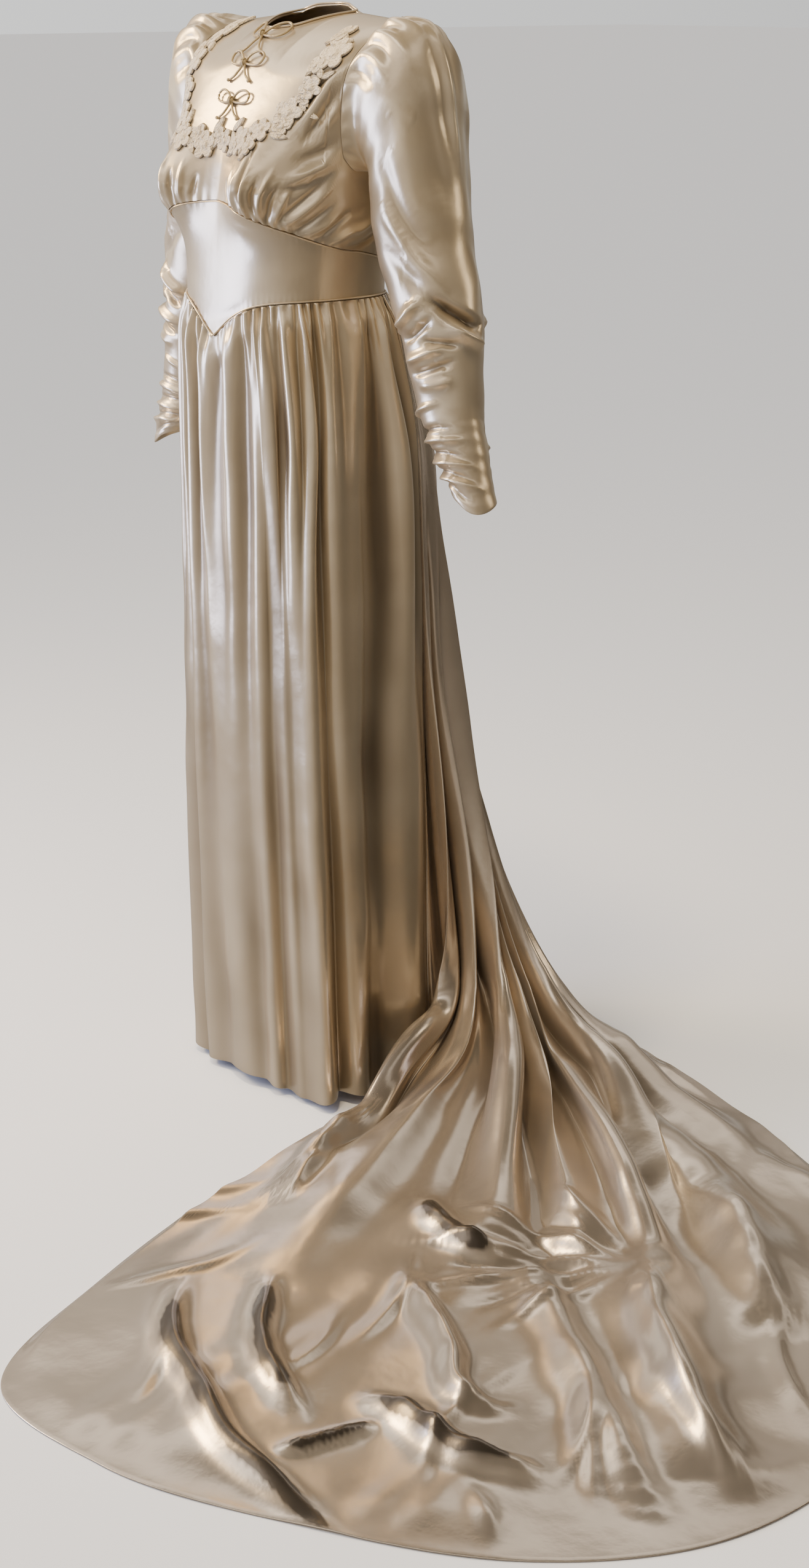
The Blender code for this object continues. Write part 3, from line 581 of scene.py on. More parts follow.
MIX_FACTOR, MIX_A, MIX_B, MIX_RESULT = 0, 6, 7, 2     # sockets of a colour Mix node
VALLEY_DEPTH, CREST_DEPTH = -0.020, 0.002             # depths with the darkest painted shade and with no painted shade
SWELL_HEIGHT, CRUMPLE_HEIGHT = 0.016, 0.004           # bump heights of the wide and the fine crumple


def cloth(name, light, shade, metallic, roughness, bumpiness, grain, extras=(), valley=(0.34, 0.31, 0.28)):
    """A cloth: two close tones in soft clouds, painted shade deep in its folds, and crumpled both wide and
    fine.

    grain is how many fine crumples there are in a metre, and valley the share of light's tone that the
    painted shade leaves in the deepest folds."""
    made = bpy.data.materials.new(name)
    made.use_nodes = True
    tree = made.node_tree
    shader = tree.nodes["Principled BSDF"]
    for socket, value in {"Metallic": metallic, "Roughness": roughness, **dict(extras)}.items():
        shader.inputs[socket].default_value = value
    where = add_node(tree, "TexCoord")
    clouds = add_node(tree, "TexNoise", {"Scale": 5.0, "Detail": 3.0})
    ripple = add_node(tree, "TexNoise", {"Scale": grain * 0.33, "Detail": 1.5})
    crinkle = add_node(tree, "TexNoise", {"Scale": grain, "Detail": 4.0})
    tones = add_node(tree, "ValToRGB")
    for stop, place, colour in zip(tones.color_ramp.elements, (0.35, 0.65), (shade, light)):
        stop.position = place
        stop.color = (*colour, 1.0)
    # Painted shade: the base colour is mixed towards a darker share of light's tone where the depth attribute
    # is low, deep in the folds.
    deep = add_node(tree, "Attribute", attribute_name="depth")
    reach = add_node(tree, "MapRange", {"From Min": VALLEY_DEPTH, "From Max": CREST_DEPTH})
    painted_darkest = (*(tone * share for tone, share in zip(light, valley)), 1.0)
    painted_light_mix = add_node(tree, "Mix", {MIX_A: painted_darkest}, data_type="RGBA")
    swell = add_node(tree, "Bump", {"Strength": bumpiness, "Distance": SWELL_HEIGHT})
    raised = add_node(tree, "Bump", {"Strength": bumpiness, "Distance": CRUMPLE_HEIGHT})
    for noise in (clouds, ripple, crinkle):
        join(tree, (where, "Object", noise, "Vector"))
    join(tree,
         (clouds, "Fac", tones, "Fac"), (tones, "Color", painted_light_mix, MIX_B),
         (deep, "Fac", reach, "Value"), (reach, "Result", painted_light_mix, MIX_FACTOR),
         (painted_light_mix, MIX_RESULT, shader, "Base Color"),
         (ripple, "Fac", swell, "Height"), (crinkle, "Fac", raised, "Height"),
         (swell, "Normal", raised, "Normal"), (raised, "Normal", shader, "Normal"))
    return made


def paint_crevice_shade(material, reach, power):
    """Paints shade into a material's colour where its surfaces lie close together, within reach: ambient
    occlusion darkens the base colour.
    """
    tree = material.node_tree
    shader = tree.nodes["Principled BSDF"]
    toned = shader.inputs["Base Color"].links[0].from_node
    crevice = add_node(tree, "AmbientOcclusion", {"Distance": reach}, samples=6)
    deepen = add_node(tree, "Math", {1: power}, operation="POWER")
    darkened = add_node(tree, "VectorMath", operation="SCALE")
    join(tree, (toned, MIX_RESULT, darkened, 0), (crevice, "AO", deepen, 0),
         (deepen, "Value", darkened, "Scale"), (darkened, "Vector", shader, "Base Color"))


SATIN = cloth("ivory_satin", (0.78, 0.65, 0.46), (0.67, 0.54, 0.36), 0.74, 0.28, 0.16, 30.0,
              {"Anisotropic": 0.35})
# The train's satin: its valley share is the darkest, for the painted shade of its folds and the painted dark
# reflection on the crowns of its rolls.
TRAIN_SATIN = cloth("ivory_satin_train", (0.82, 0.69, 0.53), (0.68, 0.56, 0.42), 0.80, 0.24, 0.15, 30.0,
                    {"Anisotropic": 0.2}, valley=(0.17, 0.165, 0.16))
LACE = cloth("beige_lace", (0.88, 0.75, 0.55), (0.74, 0.60, 0.41), 0.0, 0.80, 0.55, 900.0,
             {"Sheen Weight": 0.2})
# Painted shade in the lace's crevices.
paint_crevice_shade(LACE, 0.007, 0.8)
ROULEAU = cloth("satin_rouleau", (0.44, 0.34, 0.19), (0.34, 0.26, 0.14), 0.35, 0.34, 0.15, 500.0)
COVERED = cloth("covered_button", (0.78, 0.63, 0.44), (0.70, 0.55, 0.37), 0.35, 0.32, 0.10, 300.0)


# ---------------------------------------------------------------- the pieces
def creases_on_body(base, creases):
    """Rise of a table of creases, each from (angle, height) to (angle, height) on the body."""
    t = np.linspace(0, 1, 40)
    rise = np.zeros(base.shape[:-1])
    for from_angle, from_height, to_angle, to_height, half_width, lift, bend in creases:
        angle = from_angle + (to_angle - from_angle) * t
        height = from_height + (to_height - from_height) * t - bend * MM * 4 * t * (1 - t)
        rise += fold(base, torso(angle, height), half_width * MM, lift * MM, 0.2, 0.42)
    return rise


def bodice(name, angles, rows, mesh_span):
    """Front or back of the bodice: the torso's form, its seam puckers, and the listed creases."""
    bottom = bust_seam(angles) + 0.0006
    top = top_edge(angles)
    share = 1 - (1 - np.linspace(0, 1, rows)) ** 1.5
    heights = bottom + (top - bottom) * share[:, None]
    around = np.broadcast_to(angles, heights.shape)
    base = torso(around, heights)
    normals = normals_of(base)
    up = heights - bottom
    turn = np.radians(around)
    gathered = bump((from_front(around) - 28) / 20)
    puckers = 1.3 * gathered * np.cos(around * 1.45 + 1.3 * np.sin(5 * turn)) * np.exp(-up / 0.018)
    puckers += 0.4 * np.sin(around * 1.1 + 2 * np.sin(3 * turn)) * np.exp(-up / 0.007)
    puckers += 1.2 * gathered * np.exp(-up / 0.010)
    rise = puckers * MM + creases_on_body(base, BODICE_CREASES)
    points = base + normals * (rise * ease((top - heights) / 0.012))[..., None]
    # Painted shade: depth darkens the cloth's colour in the troughs of the puckers and creases.
    return grid_mesh(name, turned(points, normals), SATIN, span=mesh_span, depth=1.3 * rise)


def midriff(name, angles, rows):
    """Front or back of the fitted midriff: smooth, with a few slight drag lines."""
    top, bottom = bust_seam(angles) - 0.0003, waist_seam(angles) + 0.0003
    heights = bottom + (top - bottom) * np.linspace(0, 1, rows)[:, None]
    around = np.broadcast_to(angles, heights.shape)
    base = torso(around, heights)
    near_seam = np.exp(-(heights - bottom) / 0.006) + np.exp(-(top - heights) / 0.006)
    rise = 0.3 * MM * np.sin(around * 1.7 + 2 * np.sin(np.radians(around) * 4)) * near_seam
    rise += creases_on_body(base, MIDRIFF_CREASES)
    return grid_mesh(name, base + normals_of(base) * rise[..., None], SATIN, span=(0.42, 0.09))


def waist_gathers(angle, drop):
    """Rise of the waist gathers: crinkles under the seam, opening into half as many, then long folds."""
    turn = np.radians(angle)
    wander = np.radians(angle + 2.4 * np.sin(3 * turn + 0.6) + 1.3 * np.sin(7 * turn))
    uneven = 0.74 + 0.26 * np.sin(5 * turn + 1.1) * np.cos(2 * turn)
    fine = np.cos(wander * 62 + 0.9 * np.sin(11 * turn)) * (0.6 + 0.4 * np.cos(9 * turn + 2))
    fine = 4.0 * fine * bump(drop / 0.075) * ease(drop / 0.004 + 0.4)
    wide = np.cos(wander * 24 + 1.4 * np.sin(4 * turn + 2) + 3.0 * drop)
    wide = 8.8 * wide * uneven * ease(drop / 0.05) * bump(np.maximum(drop - 0.07, 0) / 0.36)
    long = np.cos(wander * 11 + 1.7 * np.sin(3 * turn) + 0.8 * drop)
    long = 4.2 * long * uneven * ease((drop - 0.05) / 0.16) * (0.30 + 0.70 * bump(drop / 0.55))
    puff = 4.0 * ease(drop / 0.030) * bump(drop / 0.085)
    return (fine + wide + long + puff) * MM


def skirt_wrinkles(angle, height):
    """Slight slanting crumples down the skirt: crossed waves, with a soft edge to each patch."""
    turn = np.radians(angle)
    slant = np.sin(13 * turn + 26 * height) * np.sin(7 * turn - 15 * height + 1.2)
    patch = ease(np.sin(3 * turn + 5.1 * height + 0.8) * np.cos(5 * turn - 4 * height) * 1.6)
    broad = np.sin(6 * turn + 9 * height + 2) * np.sin(4 * turn - 6.5 * height)
    broad = broad * np.cos(9 * turn + 3 * height)
    return (1.4 * slant * patch + 2.6 * broad) * MM


def skirt_front():
    """The front panel: the skirt's folds, the waist gathers and a turned hem."""
    angles = np.linspace(SKIRT_RIGHT_SEAM + 0.12, SKIRT_LEFT_SEAM - 0.12, 420)
    top = waist_seam(angles) - 0.0004
    share = np.linspace(0, 1, 210)[:, None] ** 1.45
    heights = top * (1 - share) + HEM_HEIGHT * share
    around = np.broadcast_to(angles, heights.shape)
    drop = top - heights
    turn = np.radians(around)
    inside = ease((around - angles[0]) / 9) * ease((angles[-1] - around) / 9) * ease(drop / 0.2)
    sway = 1.5 * np.sin(5.2 * heights + 2.1 * turn) + 0.9 * np.sin(10.5 * heights - 4 * turn + 1)
    swayed = around + sway * inside
    base = skirt_point(swayed, heights)
    normals = -normals_of(base)
    rise = waist_gathers(around, drop) + skirt_wrinkles(around, heights) * ease(drop / 0.2)
    points = base + normals * rise[..., None]
    points[..., 2] += 4 * MM * np.sin(turn * 6 + 1) * share ** 6
    # Painted shade: depth darkens the cloth's colour in the valleys between the skirt's folds and in the
    # troughs of the gathers, and the whole panel a little.
    valley_shade = np.zeros_like(drop)
    for place, width, at_hip, _ in FOLDS:
        valley_shade -= at_hip * bump(turn_from(place, swayed) / width) * ease(drop / 0.25)
    return grid_mesh("skirt_front_cloth", turned(points, normals), SATIN, span=(0.60, 1.10),
                     depth=2.0 * rise + valley_shade * 0.8 - 0.003)


def train_wrinkles():
    """Lines of the train's slight creases and of the wrinkles at its pinch, with their widths and lifts."""
    t = np.linspace(0, 1, 30)[:, None]
    for angle, start, end, half_width, lift in PINCH_WRINKLES:
        run = np.array((math.cos(math.radians(angle)), math.sin(math.radians(angle))))
        side = np.array((-run[1], run[0]))
        away = start + (end - start) * t
        line = np.array((PINCH["x"], PINCH["y"])) + run * away + side * 0.14 * away * t
        yield line, half_width, lift, 0.0, 0.45
    t = np.linspace(0, 1, 60)[:, None]
    for x0, y0, x1, y1, bend, half_width, lift in TRAIN_CREASES:
        run = np.array((x1 - x0, y1 - y0))
        side = np.array((-run[1], run[0]))
        yield np.array((x0, y0)) + run * t + bend * 4 * t * (1 - t) * side, half_width, lift, 0.3, 0.5


def floor_fold(points, line, half_width, lift, lean=0.0, ends=0.30, beat=0.0):
    """One fold of the train, measured over the floor from its line of (x, y)."""
    flat = np.concatenate([points[..., :2], np.zeros(points.shape[:-1] + (1,))], axis=-1)
    level = np.concatenate([line, np.zeros((len(line), 1))], axis=-1)
    return fold(flat, level, half_width, lift, lean, ends, beat)


def soften(points, rows, centre, spread, times):
    """Rounds the knee: quarter, half, quarter averages along the rows, fading away from the centre."""
    weight = bump((rows - centre) / spread)[:, None, None]
    for _ in range(times):
        level = points.copy()
        level[1:-1] = 0.25 * points[:-2] + 0.5 * points[1:-1] + 0.25 * points[2:]
        points = points + weight * (level - points)
    return points


def back_gore(name, share, fall_rows, floor_rows):
    """A gore of the back panel: it falls in drawn folds, turns at the knee and lies as the train."""
    rows = np.concatenate([np.linspace(0, 1, fall_rows)[:-1], 1 + np.linspace(0, 1, floor_rows)])
    base = back_panel(share[None, :], rows[:, None])
    base = soften(base, rows, 1.02, 0.26, round(0.0155 * (floor_rows - 1) ** 2))
    mound = 26 * MM * bump((rows - 1.16) / 0.20)[:, None]
    base[..., 2] += mound * ease(share / 0.06) * ease((0.75 - share) / 0.2)
    normals = -normals_of(base)
    angle = follow(share, TRAIN[0], TRAIN[1])
    drop = waist_seam(angle) - base[..., 2]
    hanging = 1 - ease((rows - 0.55) / 0.4)[:, None]
    rise = waist_gathers(np.broadcast_to(angle, drop.shape), drop) * hanging
    for at_top, at_foot, half_width, lift, first, last in FALL_FOLDS:
        middle = at_top + (at_foot - at_top) * ease((rows - 0.2) / 1.2)
        middle = (middle + 0.004 * np.sin(4 * rows + 40 * at_top))[:, None]
        strength = ease((rows - first) / 0.35) * ease((last - rows) / 0.42)
        rise += lift * MM * bump((share[None, :] - middle) / half_width) * strength[:, None]
    points = base + normals * rise[..., None]
    lying = ease((rows - 1.02) / 0.20)[:, None]
    edge = ease((2.0 - rows) / 0.06)[:, None]
    x, y = base[..., 0], base[..., 1]
    lift = 3.0 * MM * (1 + np.sin(9 * x + 14 * y + 1.2 * np.sin(7 * x)))
    lift += 1.6 * MM * (1 + np.sin(23 * x - 17 * y + 2.0 * np.sin(11 * y)))
    lift += 0.7 * MM * (1 + np.sin(61 * x + 38 * y + 3.0 * np.sin(19 * x)))
    # Painted reflection and highlight: tone darkens the whole lying train a little, paints the crowns of the
    # mirrored rolls darkest as a painted dark reflection, and lightens a band low on their flanks as a
    # painted highlight.
    tone = -0.0060 * np.ones_like(lift)
    ragged = 0.60 + 0.13 * np.sin(31 * x + 22 * y) * np.sin(17 * x - 29 * y)
    for roll_name, (half_width, height, lean, run) in TRAIN_ROLLS.items():
        line = soft_line(run, 80)
        half_width, height = half_width * MM, height * MM
        roll = floor_fold(base, line, half_width, height, lean, 0.30, 0.05)
        lift += roll + floor_fold(base, line, half_width * 3.2, height * 0.22, 0.0, 0.5)
        if roll_name in MIRRORED:
            tone -= 0.022 * ease((roll / height - ragged) / 0.12)
            tone += 0.010 * bump((roll / height - 0.30) / 0.14)
    for line, half_width, height, lean, ends in train_wrinkles():
        lift += floor_fold(base, line, half_width * MM, height * MM, lean, ends)
    lift -= 5 * MM * bump(np.hypot(x - PINCH["x"], y - PINCH["y"]) / 0.030)
    points[..., 2] += lift * lying * (0.15 + 0.85 * edge)
    points[..., 2] = np.maximum(points[..., 2], 0.0018)
    # depth carries painted shade into the troughs of the falling folds, and the painted reflection and
    # highlight of the rolls.
    return grid_mesh(name, turned(points, normals, 0.0009), TRAIN_SATIN, span=(1.8, 2.0),
                     depth=0.36 * rise * (1 - 0.5 * lying) + tone * lying)


def sleeve(name, side):
    """A leg-of-mutton sleeve: the gathered head, the elbow crush and the ruched wrist, with the listed
    creases.
    """
    turn = np.arange(132) * (360 / 132)
    ring = np.concatenate([np.linspace(0, 9, 136)[:-1], np.linspace(9, 15, 132)])
    base = sleeve_form(ring, turn)
    normals = normals_of(base, around=True)
    rise = np.zeros(base.shape[:-1])
    t = np.linspace(0, 1, 40)
    for from_turn, from_ring, to_turn, to_ring, half_width, lift, bend in SLEEVE_CREASES:
        line_turn = from_turn + (to_turn - from_turn) * t
        line_ring = from_ring + (to_ring - from_ring) * t + bend / RING_STEP * 4 * t * (1 - t)
        line_ring = np.clip(line_ring, 0, len(SLEEVE))
        line = sleeve_form(line_ring, line_turn)[np.arange(40), np.arange(40)]
        soft = 1.0 + 0.35 * ease((8.6 - from_ring) / 1.5)
        head = 0.90 if from_ring < 0.5 else 1.0 + 0.35 * ease((from_ring - 7.0) / 2.0)
        rise += fold(base, line, half_width * MM * soft, head * lift * MM / soft ** 1.6, 0.2, 0.35)
    steps = np.radians(turn)[None, :]
    level = ring[:, None]
    waves = 0.9 * np.sin(3 * steps + 1.7 * level) * np.sin(2.3 * level - steps) * ease((level - 1.5) / 2)
    waves += 0.3 * np.sin(5 * steps - 3.1 * level) * ease((level - 2) / 2) * ease((12.4 - level) / 2)
    crown = bump(level / 1.1) * (0.35 + 0.65 * np.cos(steps / 2) ** 2)
    waves += 1.6 * crown * np.cos(19 * steps + 1.5 * np.sin(3 * steps)) * ease(level / 0.35 + 0.2)
    cuff = ease((level - 12.2) / 1.0) * (0.4 + 0.6 * np.cos(steps / 2 + 1.6) ** 2)
    waves += 0.4 * cuff * np.sin(level * 17 + 1.2 * np.sin(steps * 2))
    rise += waves * MM
    points = base + normals * rise[..., None]
    from_tip = np.remainder(steps - np.pi / 4 + np.pi, 2 * np.pi) - np.pi
    points[..., 2] -= 10 * MM * ease((level - 14.2) / 0.8) * bump(from_tip)
    points = turned(points, normals)
    points[..., 0] *= side
    # Painted shade: depth darkens the cloth's colour in the troughs of the sleeve's creases and waves.
    depth = 1.4 * rise
    if side < 0:
        points, depth = points[:, ::-1], depth[:, ::-1]
    return grid_mesh(name, points, SATIN, around=True, span=(0.4, 0.62), depth=depth)


def off_body(angle, height, lift):
    """A place lift out from the surface of the body."""
    across = torso(angle + 0.5, height) - torso(angle - 0.5, height)
    up = torso(angle, height + 2 * MM) - torso(angle, height - 2 * MM)
    return torso(angle, height) + unit(np.cross(across, up)) * np.asarray(lift)[..., None]


def lace_spot(x, height, lift):
    """A place on the front of the bodice, lift above it, from its flat x and height."""
    half = follow(height, BODY[0], BODY[1])
    angle = np.degrees(np.arcsin(np.clip(np.abs(x) / half, 0, 0.999) ** (1 / SQUARE))) * np.sign(x)
    return off_body(angle, height, lift)


def flower(x, height, size, tilt, petals=5):
    """A flat lace flower: its outline swells at each petal, with raised rims and a raised eye."""
    turn = np.linspace(0, 2 * np.pi, 61)
    outline = 0.50 + 0.50 * np.abs(np.cos(petals * (turn - tilt) / 2)) ** 0.50
    reach = np.array((0.0, 0.12, 0.22, 0.30, 0.5, 0.72, 0.88, 0.96, 1.0, 1.0))
    lift = np.array((5.0, 5.1, 4.7, 3.1, 3.3, 3.6, 4.3, 4.3, 3.7, 1.2))[:, None] * MM
    away = reach[:, None] * (outline ** np.minimum(1, reach * 1.4)[:, None]) * size
    return lace_spot(x + away * np.cos(turn), height + away * np.sin(turn), lift + 0 * away)


def leaf(x, height, size, tilt, slim=0.42):
    """A pointed lace leaf from its stem: half widths of a sine arch, with a raised vein and rims."""
    along, across = np.meshgrid(np.linspace(0, 1, 17), np.linspace(-1, 1, 13), indexing="ij")
    half = slim * size * 0.5 * np.sin(np.pi * along ** 0.85) ** 0.8
    run = along * size
    side = half * np.clip(across, -0.98, 0.98)
    raised = bump(across / 0.16) + bump((np.abs(across) - 0.8) / 0.15)
    lift = (3.2 + 0.6 * raised - 3.0 * (np.abs(across) > 0.99)) * MM
    flat_x = x + run * np.cos(tilt) - side * np.sin(tilt)
    flat_h = height + run * np.sin(tilt) + side * np.cos(tilt)
    return lace_spot(flat_x, flat_h, lift)


def lace():
    """The lace wreath: flowers, buds and leaves set by turns along the U round the neck."""
    x = np.concatenate([-WREATH[0][:0:-1], WREATH[0]])
    height = np.concatenate([WREATH[1][:0:-1], WREATH[1]])
    line = soft_line(np.stack([x, height], axis=-1), 36)
    run = unit(np.gradient(line, axis=0))
    motifs = []
    for number, (spot, along) in enumerate(zip(line, run)):
        tilt = math.atan2(along[1], along[0])
        here = spot + np.array((-along[1], along[0])) * 0.0085 * math.sin(number * 2.4)
        scale = 1.0 if abs(spot[0]) < 0.10 else 0.75
        sine, cosine = math.sin(number), math.cos(number)
        if number % 3 == 0:
            blooms = ((0.0165 + 0.002 * sine, 0.7 * number, 5),)
            leaves = ()
        elif number % 3 == 1:
            blooms = ()
            leaves = ((0.024, 0.9 + 0.4 * sine), (0.022, -1.2 + 0.4 * cosine))
        else:
            blooms = ((0.0105, 1.1 * number, 4),)
            leaves = ((0.020, 2.4 + 0.5 * sine), (0.019, -2.2))
        motifs += [flower(*here, size, turn, petals) for size, turn, petals in blooms]
        motifs += [leaf(*here, scale * size, tilt + turn) for size, turn in leaves]
    return several("lace_wreath_cloth", motifs, LACE)


def bow(name, height):
    """A rouleau bow: a wrapped knot, two drooping loops and two tails that end in little knots."""
    grids = []
    for hand in (1.0, -1.0):
        loop = ((0.001, 0.001, 0.0030), (0.006, 0.0065, 0.0044), (0.015, 0.0115, 0.0054),
                (0.025, 0.0120, 0.0048), (0.0315, 0.0075, 0.0038), (0.0305, 0.0015, 0.0032),
                (0.023, -0.0015, 0.0028), (0.012, -0.0018, 0.0028), (0.001, -0.0005, 0.0030))
        tail = ((0.001, -0.001, 0.0028), (0.0055, -0.0085, 0.0032), (0.0115, -0.0155, 0.0030),
                (0.0195, -0.0205, 0.0026))
        for run in (loop, tail):
            smooth = soft_line(run, 34)
            line = lace_spot(hand * smooth[:, 0] * (1.0 + 0.08 * hand), height + smooth[:, 1], smooth[:, 2])
            grids.append(tube(line, 0.0016, 10))
        end = lace_spot(np.array(hand * 0.0210), np.array(height - 0.0212), np.array(0.0028))
        grids.append(blob(end, (0.0028, 0.0024, 0.0024)))
    centre = lace_spot(np.array(0.0), np.array(height), np.array(0.0042))
    grids.append(blob(centre, (0.0042, 0.0036, 0.0046)))
    turn = np.linspace(0, 2 * np.pi, 25)
    for across in (-0.0017, 0.0, 0.0017):
        band = centre + np.stack([across + 0 * turn, 0.0040 * np.cos(turn), 0.0050 * np.sin(turn)], axis=-1)
        grids.append(tube(band, 0.0010, 6))
    return several(name, grids, ROULEAU)


def button_row(name, side):
    """Ten covered buttons down the inner side of one cuff: a round dome each, with its little loop."""
    grids = []
    run = sleeve_form(np.linspace(12.25, 14.92, 10), np.array([180.0]))[:, 0]
    for foot, along in zip(run, unit(np.gradient(run, axis=0))):
        away = unit(np.array((along[2], 0.0, -along[0])))
        away = away * -np.sign(away[0])
        across = np.cross(along, away)
        ring = np.linspace(0, 2 * np.pi, 19)
        steps = ((1.0, -0.6), (1.0, 0.9), (0.93, 1.9), (0.72, 2.7), (0.40, 3.2), (0.0, 3.35))
        dome = [
            foot + away * (lift * 0.0013) + 0.0040 * wide * (
                np.cos(ring)[:, None] * along + np.sin(ring)[:, None] * across)
            for wide, lift in steps
        ]
        grids.append(np.array(dome))
        loop = np.linspace(-0.4, np.pi + 0.4, 16)[:, None]
        line = foot + away * 0.0010 + across * 0.0052 * np.sin(loop) + along * 0.0040 * np.cos(loop)
        grids.append(tube(line, 0.0005, 6))
    grids = [grid * np.array((side, 1.0, 1.0)) for grid in grids]
    return several(name, grids, COVERED)


def neck_binding():
    """The bound edge of the neck: a narrow tube."""
    front = np.linspace(-12.5, 12.5, 50)
    back = np.concatenate([np.linspace(167.5, 180, 26), np.linspace(-180, -167.5, 26)[1:]])
    line = np.concatenate([torso(front, top_edge(front)), torso(back, top_edge(back))[1:-1]])
    line[:, 2] += 0.0020
    for _ in range(6):
        line = 0.25 * np.roll(line, 1, axis=0) + 0.5 * line + 0.25 * np.roll(line, -1, axis=0)
    return grid_mesh("neck_binding_cloth", tube(line, 0.0015, 12, closed=True), SATIN, span=(0.01, 0.5))


def piping(name, seam, side, radius):
    """A corded piping round the gown along a seam."""
    angles = np.linspace(-180, 180, 361)[:-1]
    heights = seam(angles) + side * (radius + 0.0006)
    line = off_body(angles, heights, radius + 0.0004)
    return grid_mesh(name, tube(line, radius, 10, closed=True), SATIN, span=(0.01, 0.9))


pieces = {
    "bodice_front": bodice("bodice_front_cloth", np.linspace(-90, 90, 301), 130, (0.62, 0.28)),
    "bodice_back": bodice("bodice_back_cloth", np.linspace(90, 270, 181), 90, (0.50, 0.31)),
    "midriff_front": midriff("midriff_front_cloth", np.linspace(-90, 90, 181), 40),
    "midriff_back": midriff("midriff_back_cloth", np.linspace(90, 270, 121), 24),
    "skirt_front": skirt_front(),
    "skirt_back_train": back_gore("train_left_gore", np.linspace(0, TRAIN_SEAM, 384), 66, 186),
    "sleeve_left": sleeve("sleeve_left_cloth", 1),
    "sleeve_right": sleeve("sleeve_right_cloth", -1),
    "neck_binding": neck_binding(),
    "piping_bust": piping("piping_bust_cord", bust_seam, -1, 0.0009),
    "piping_waist": piping("piping_waist_cord", waist_seam, 1, 0.0011),
    "lace_wreath": lace(),
}
right_gore = back_gore("train_right_gore", np.linspace(TRAIN_SEAM, 1, 220), 66, 120)
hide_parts("skirt_back_train")
for node, piece in pieces.items():
    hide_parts(node)
for bow_name, bow_height in BOW_HEIGHTS.items():
    made = bow(bow_name + "_rouleau", bow_height)
    parts = ("knot", "loop_left", "loop_right", "tail_left", "tail_right")
    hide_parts(*(f"{bow_name}_{part}" for part in parts))
for cuff, side in (("left", 1), ("right", -1)):
    made = button_row(f"buttons_{cuff}_covered", side)
    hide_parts(*(f"button_{cuff}_{number}" for number in range(1, 11)))

# ---------------------------------------------------------------- stage, light and camera
def placed(name, data, location=(0.0, 0.0, 0.0), rotation=(0.0, 0.0, 0.0)):
    """A new object in the scene, with its rotation in degrees."""
    made = bpy.data.objects.new(name, data)
    made.location = location
    made.rotation_euler = [math.radians(turn) for turn in rotation]
    bpy.context.scene.collection.objects.link(made)
    return made


floor_mesh = bpy.data.meshes.new("floor")
floor_mesh.from_pydata([(-60, -60, 0), (60, -60, 0), (60, 60, 0), (-60, 60, 0)], [], [(0, 1, 2, 3)])
floor = placed("floor", floor_mesh, (0.0, 0.0, -HOLD))
pale = bpy.data.materials.new("pale_floor")
pale.use_nodes = True
surface = pale.node_tree.nodes["Principled BSDF"].inputs
surface["Base Color"].default_value = (0.93, 0.925, 0.92, 1)
surface["Roughness"].default_value = 0.9
surface["Specular IOR Level"].default_value = 0.1
floor_mesh.materials.append(pale)
floor.visible_glossy = False

world = bpy.data.worlds.new("studio")
world.use_nodes = True
tree = world.node_tree
sky = tree.nodes["Background"]
sky.inputs["Strength"].default_value = 0.46
look = add_node(tree, "TexCoord")
parts = add_node(tree, "SeparateXYZ")
rising = add_node(tree, "MapRange", {"From Min": -1.0})
ramp = add_node(tree, "ValToRGB")
# Colours by height in the sky, from straight down at 0 to straight up at 1
stops = ((0.0, (0.50, 0.46, 0.42)), (0.30, (0.50, 0.45, 0.40)), (0.43, (0.62, 0.58, 0.56)),
         (0.480, (0.60, 0.56, 0.53)), (0.486, (1.60, 1.60, 1.58)), (0.515, (1.60, 1.60, 1.58)),
         (0.54, (0.42, 0.38, 0.34)), (0.635, (0.20, 0.17, 0.14)), (0.675, (1.90, 1.84, 1.86)),
         (0.71, (0.70, 0.66, 0.64)), (0.77, (0.55, 0.51, 0.48)), (0.815, (3.40, 3.28, 3.26)),
         (0.865, (2.40, 2.34, 2.38)), (0.895, (0.05, 0.045, 0.04)), (1.0, (0.02, 0.02, 0.02)))
bands = ramp.color_ramp.elements
for place, colour in stops[1:-1]:
    bands.new(place).color = (*colour, 1)
bands[0].color = (*stops[0][1], 1)
bands[-1].color = (*stops[-1][1], 1)
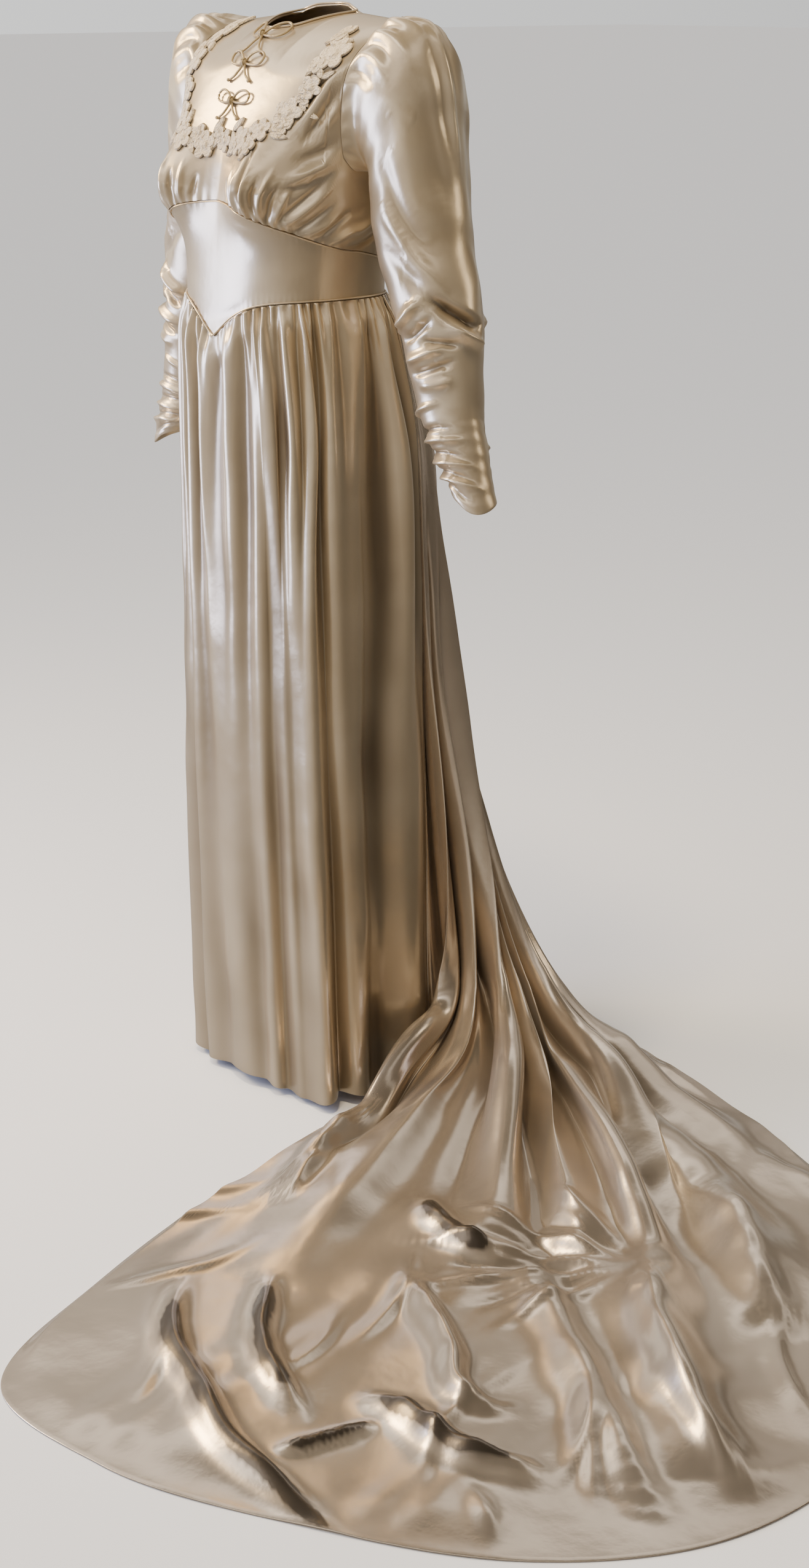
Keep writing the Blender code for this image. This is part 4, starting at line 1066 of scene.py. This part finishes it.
# Bright before the gown's right front, dim behind its left back
facing = add_node(tree, "VectorMath", {1: (-0.80, -0.60, 0.0)}, operation="DOT_PRODUCT")
side_light = add_node(tree, "MapRange", {"From Min": -0.9, "From Max": 0.9, "To Min": 0.12, "To Max": 2.0})
shaded = add_node(tree, "VectorMath", operation="SCALE")
join(tree,
     (look, "Generated", parts, "Vector"), (parts, "Z", rising, "Value"), (rising, "Result", ramp, "Fac"),
     (look, "Generated", facing, 0), (facing, "Value", side_light, "Value"),
     (ramp, "Color", shaded, 0), (side_light, "Result", shaded, "Scale"),
     (shaded, "Vector", sky, "Color"))
bpy.context.scene.world = world


def lamp(name, colour, watts, size, place, target, mirrored=True):
    """A soft square lamp at place, aimed at target, both above the floor. Not mirrored: it only fills."""
    data = bpy.data.lights.new(name, "AREA")
    data.color = colour
    data.energy = watts
    data.size = size
    made = placed(name, data, (place[0], place[1], place[2] - HOLD))
    aim = Vector(target) - Vector(place)
    made.rotation_euler = aim.to_track_quat("-Z", "Y").to_euler()
    made.visible_glossy = mirrored


lamp("warm_key", (1.0, 0.77, 0.45), 62, 0.8, (-1.9, -1.35, 2.15), (0.02, 0.0, 1.38))
lamp("cool_fill", (0.52, 0.61, 1.0), 80, 1.5, (-1.75, -2.2, 0.85), (0.1, 0.0, 0.8))
lamp("warm_top", (1.0, 0.80, 0.52), 52, 0.35, (0.55, -0.75, 3.0), (0.1, 0.0, 1.35), mirrored=False)
lamp("warm_rim", (1.0, 0.86, 0.66), 6, 0.8, (1.9, 1.9, 1.9), (0.2, 0.0, 0.9))
sun_data = bpy.data.lights.new("sky_wash", "SUN")
sun_data.energy = 1.7
sun_data.angle = math.radians(50)
sun_data.color = (1.0, 0.97, 0.92)
placed("sky_wash", sun_data, rotation=(28.0, -14.0, 0.0)).visible_glossy = False

camera_data = bpy.data.cameras.new("camera")
camera_data.lens = 60.2
bpy.context.scene.camera = placed("camera", camera_data, (2.779, -2.133, 0.055), (72.87, 0.0, 50.0))
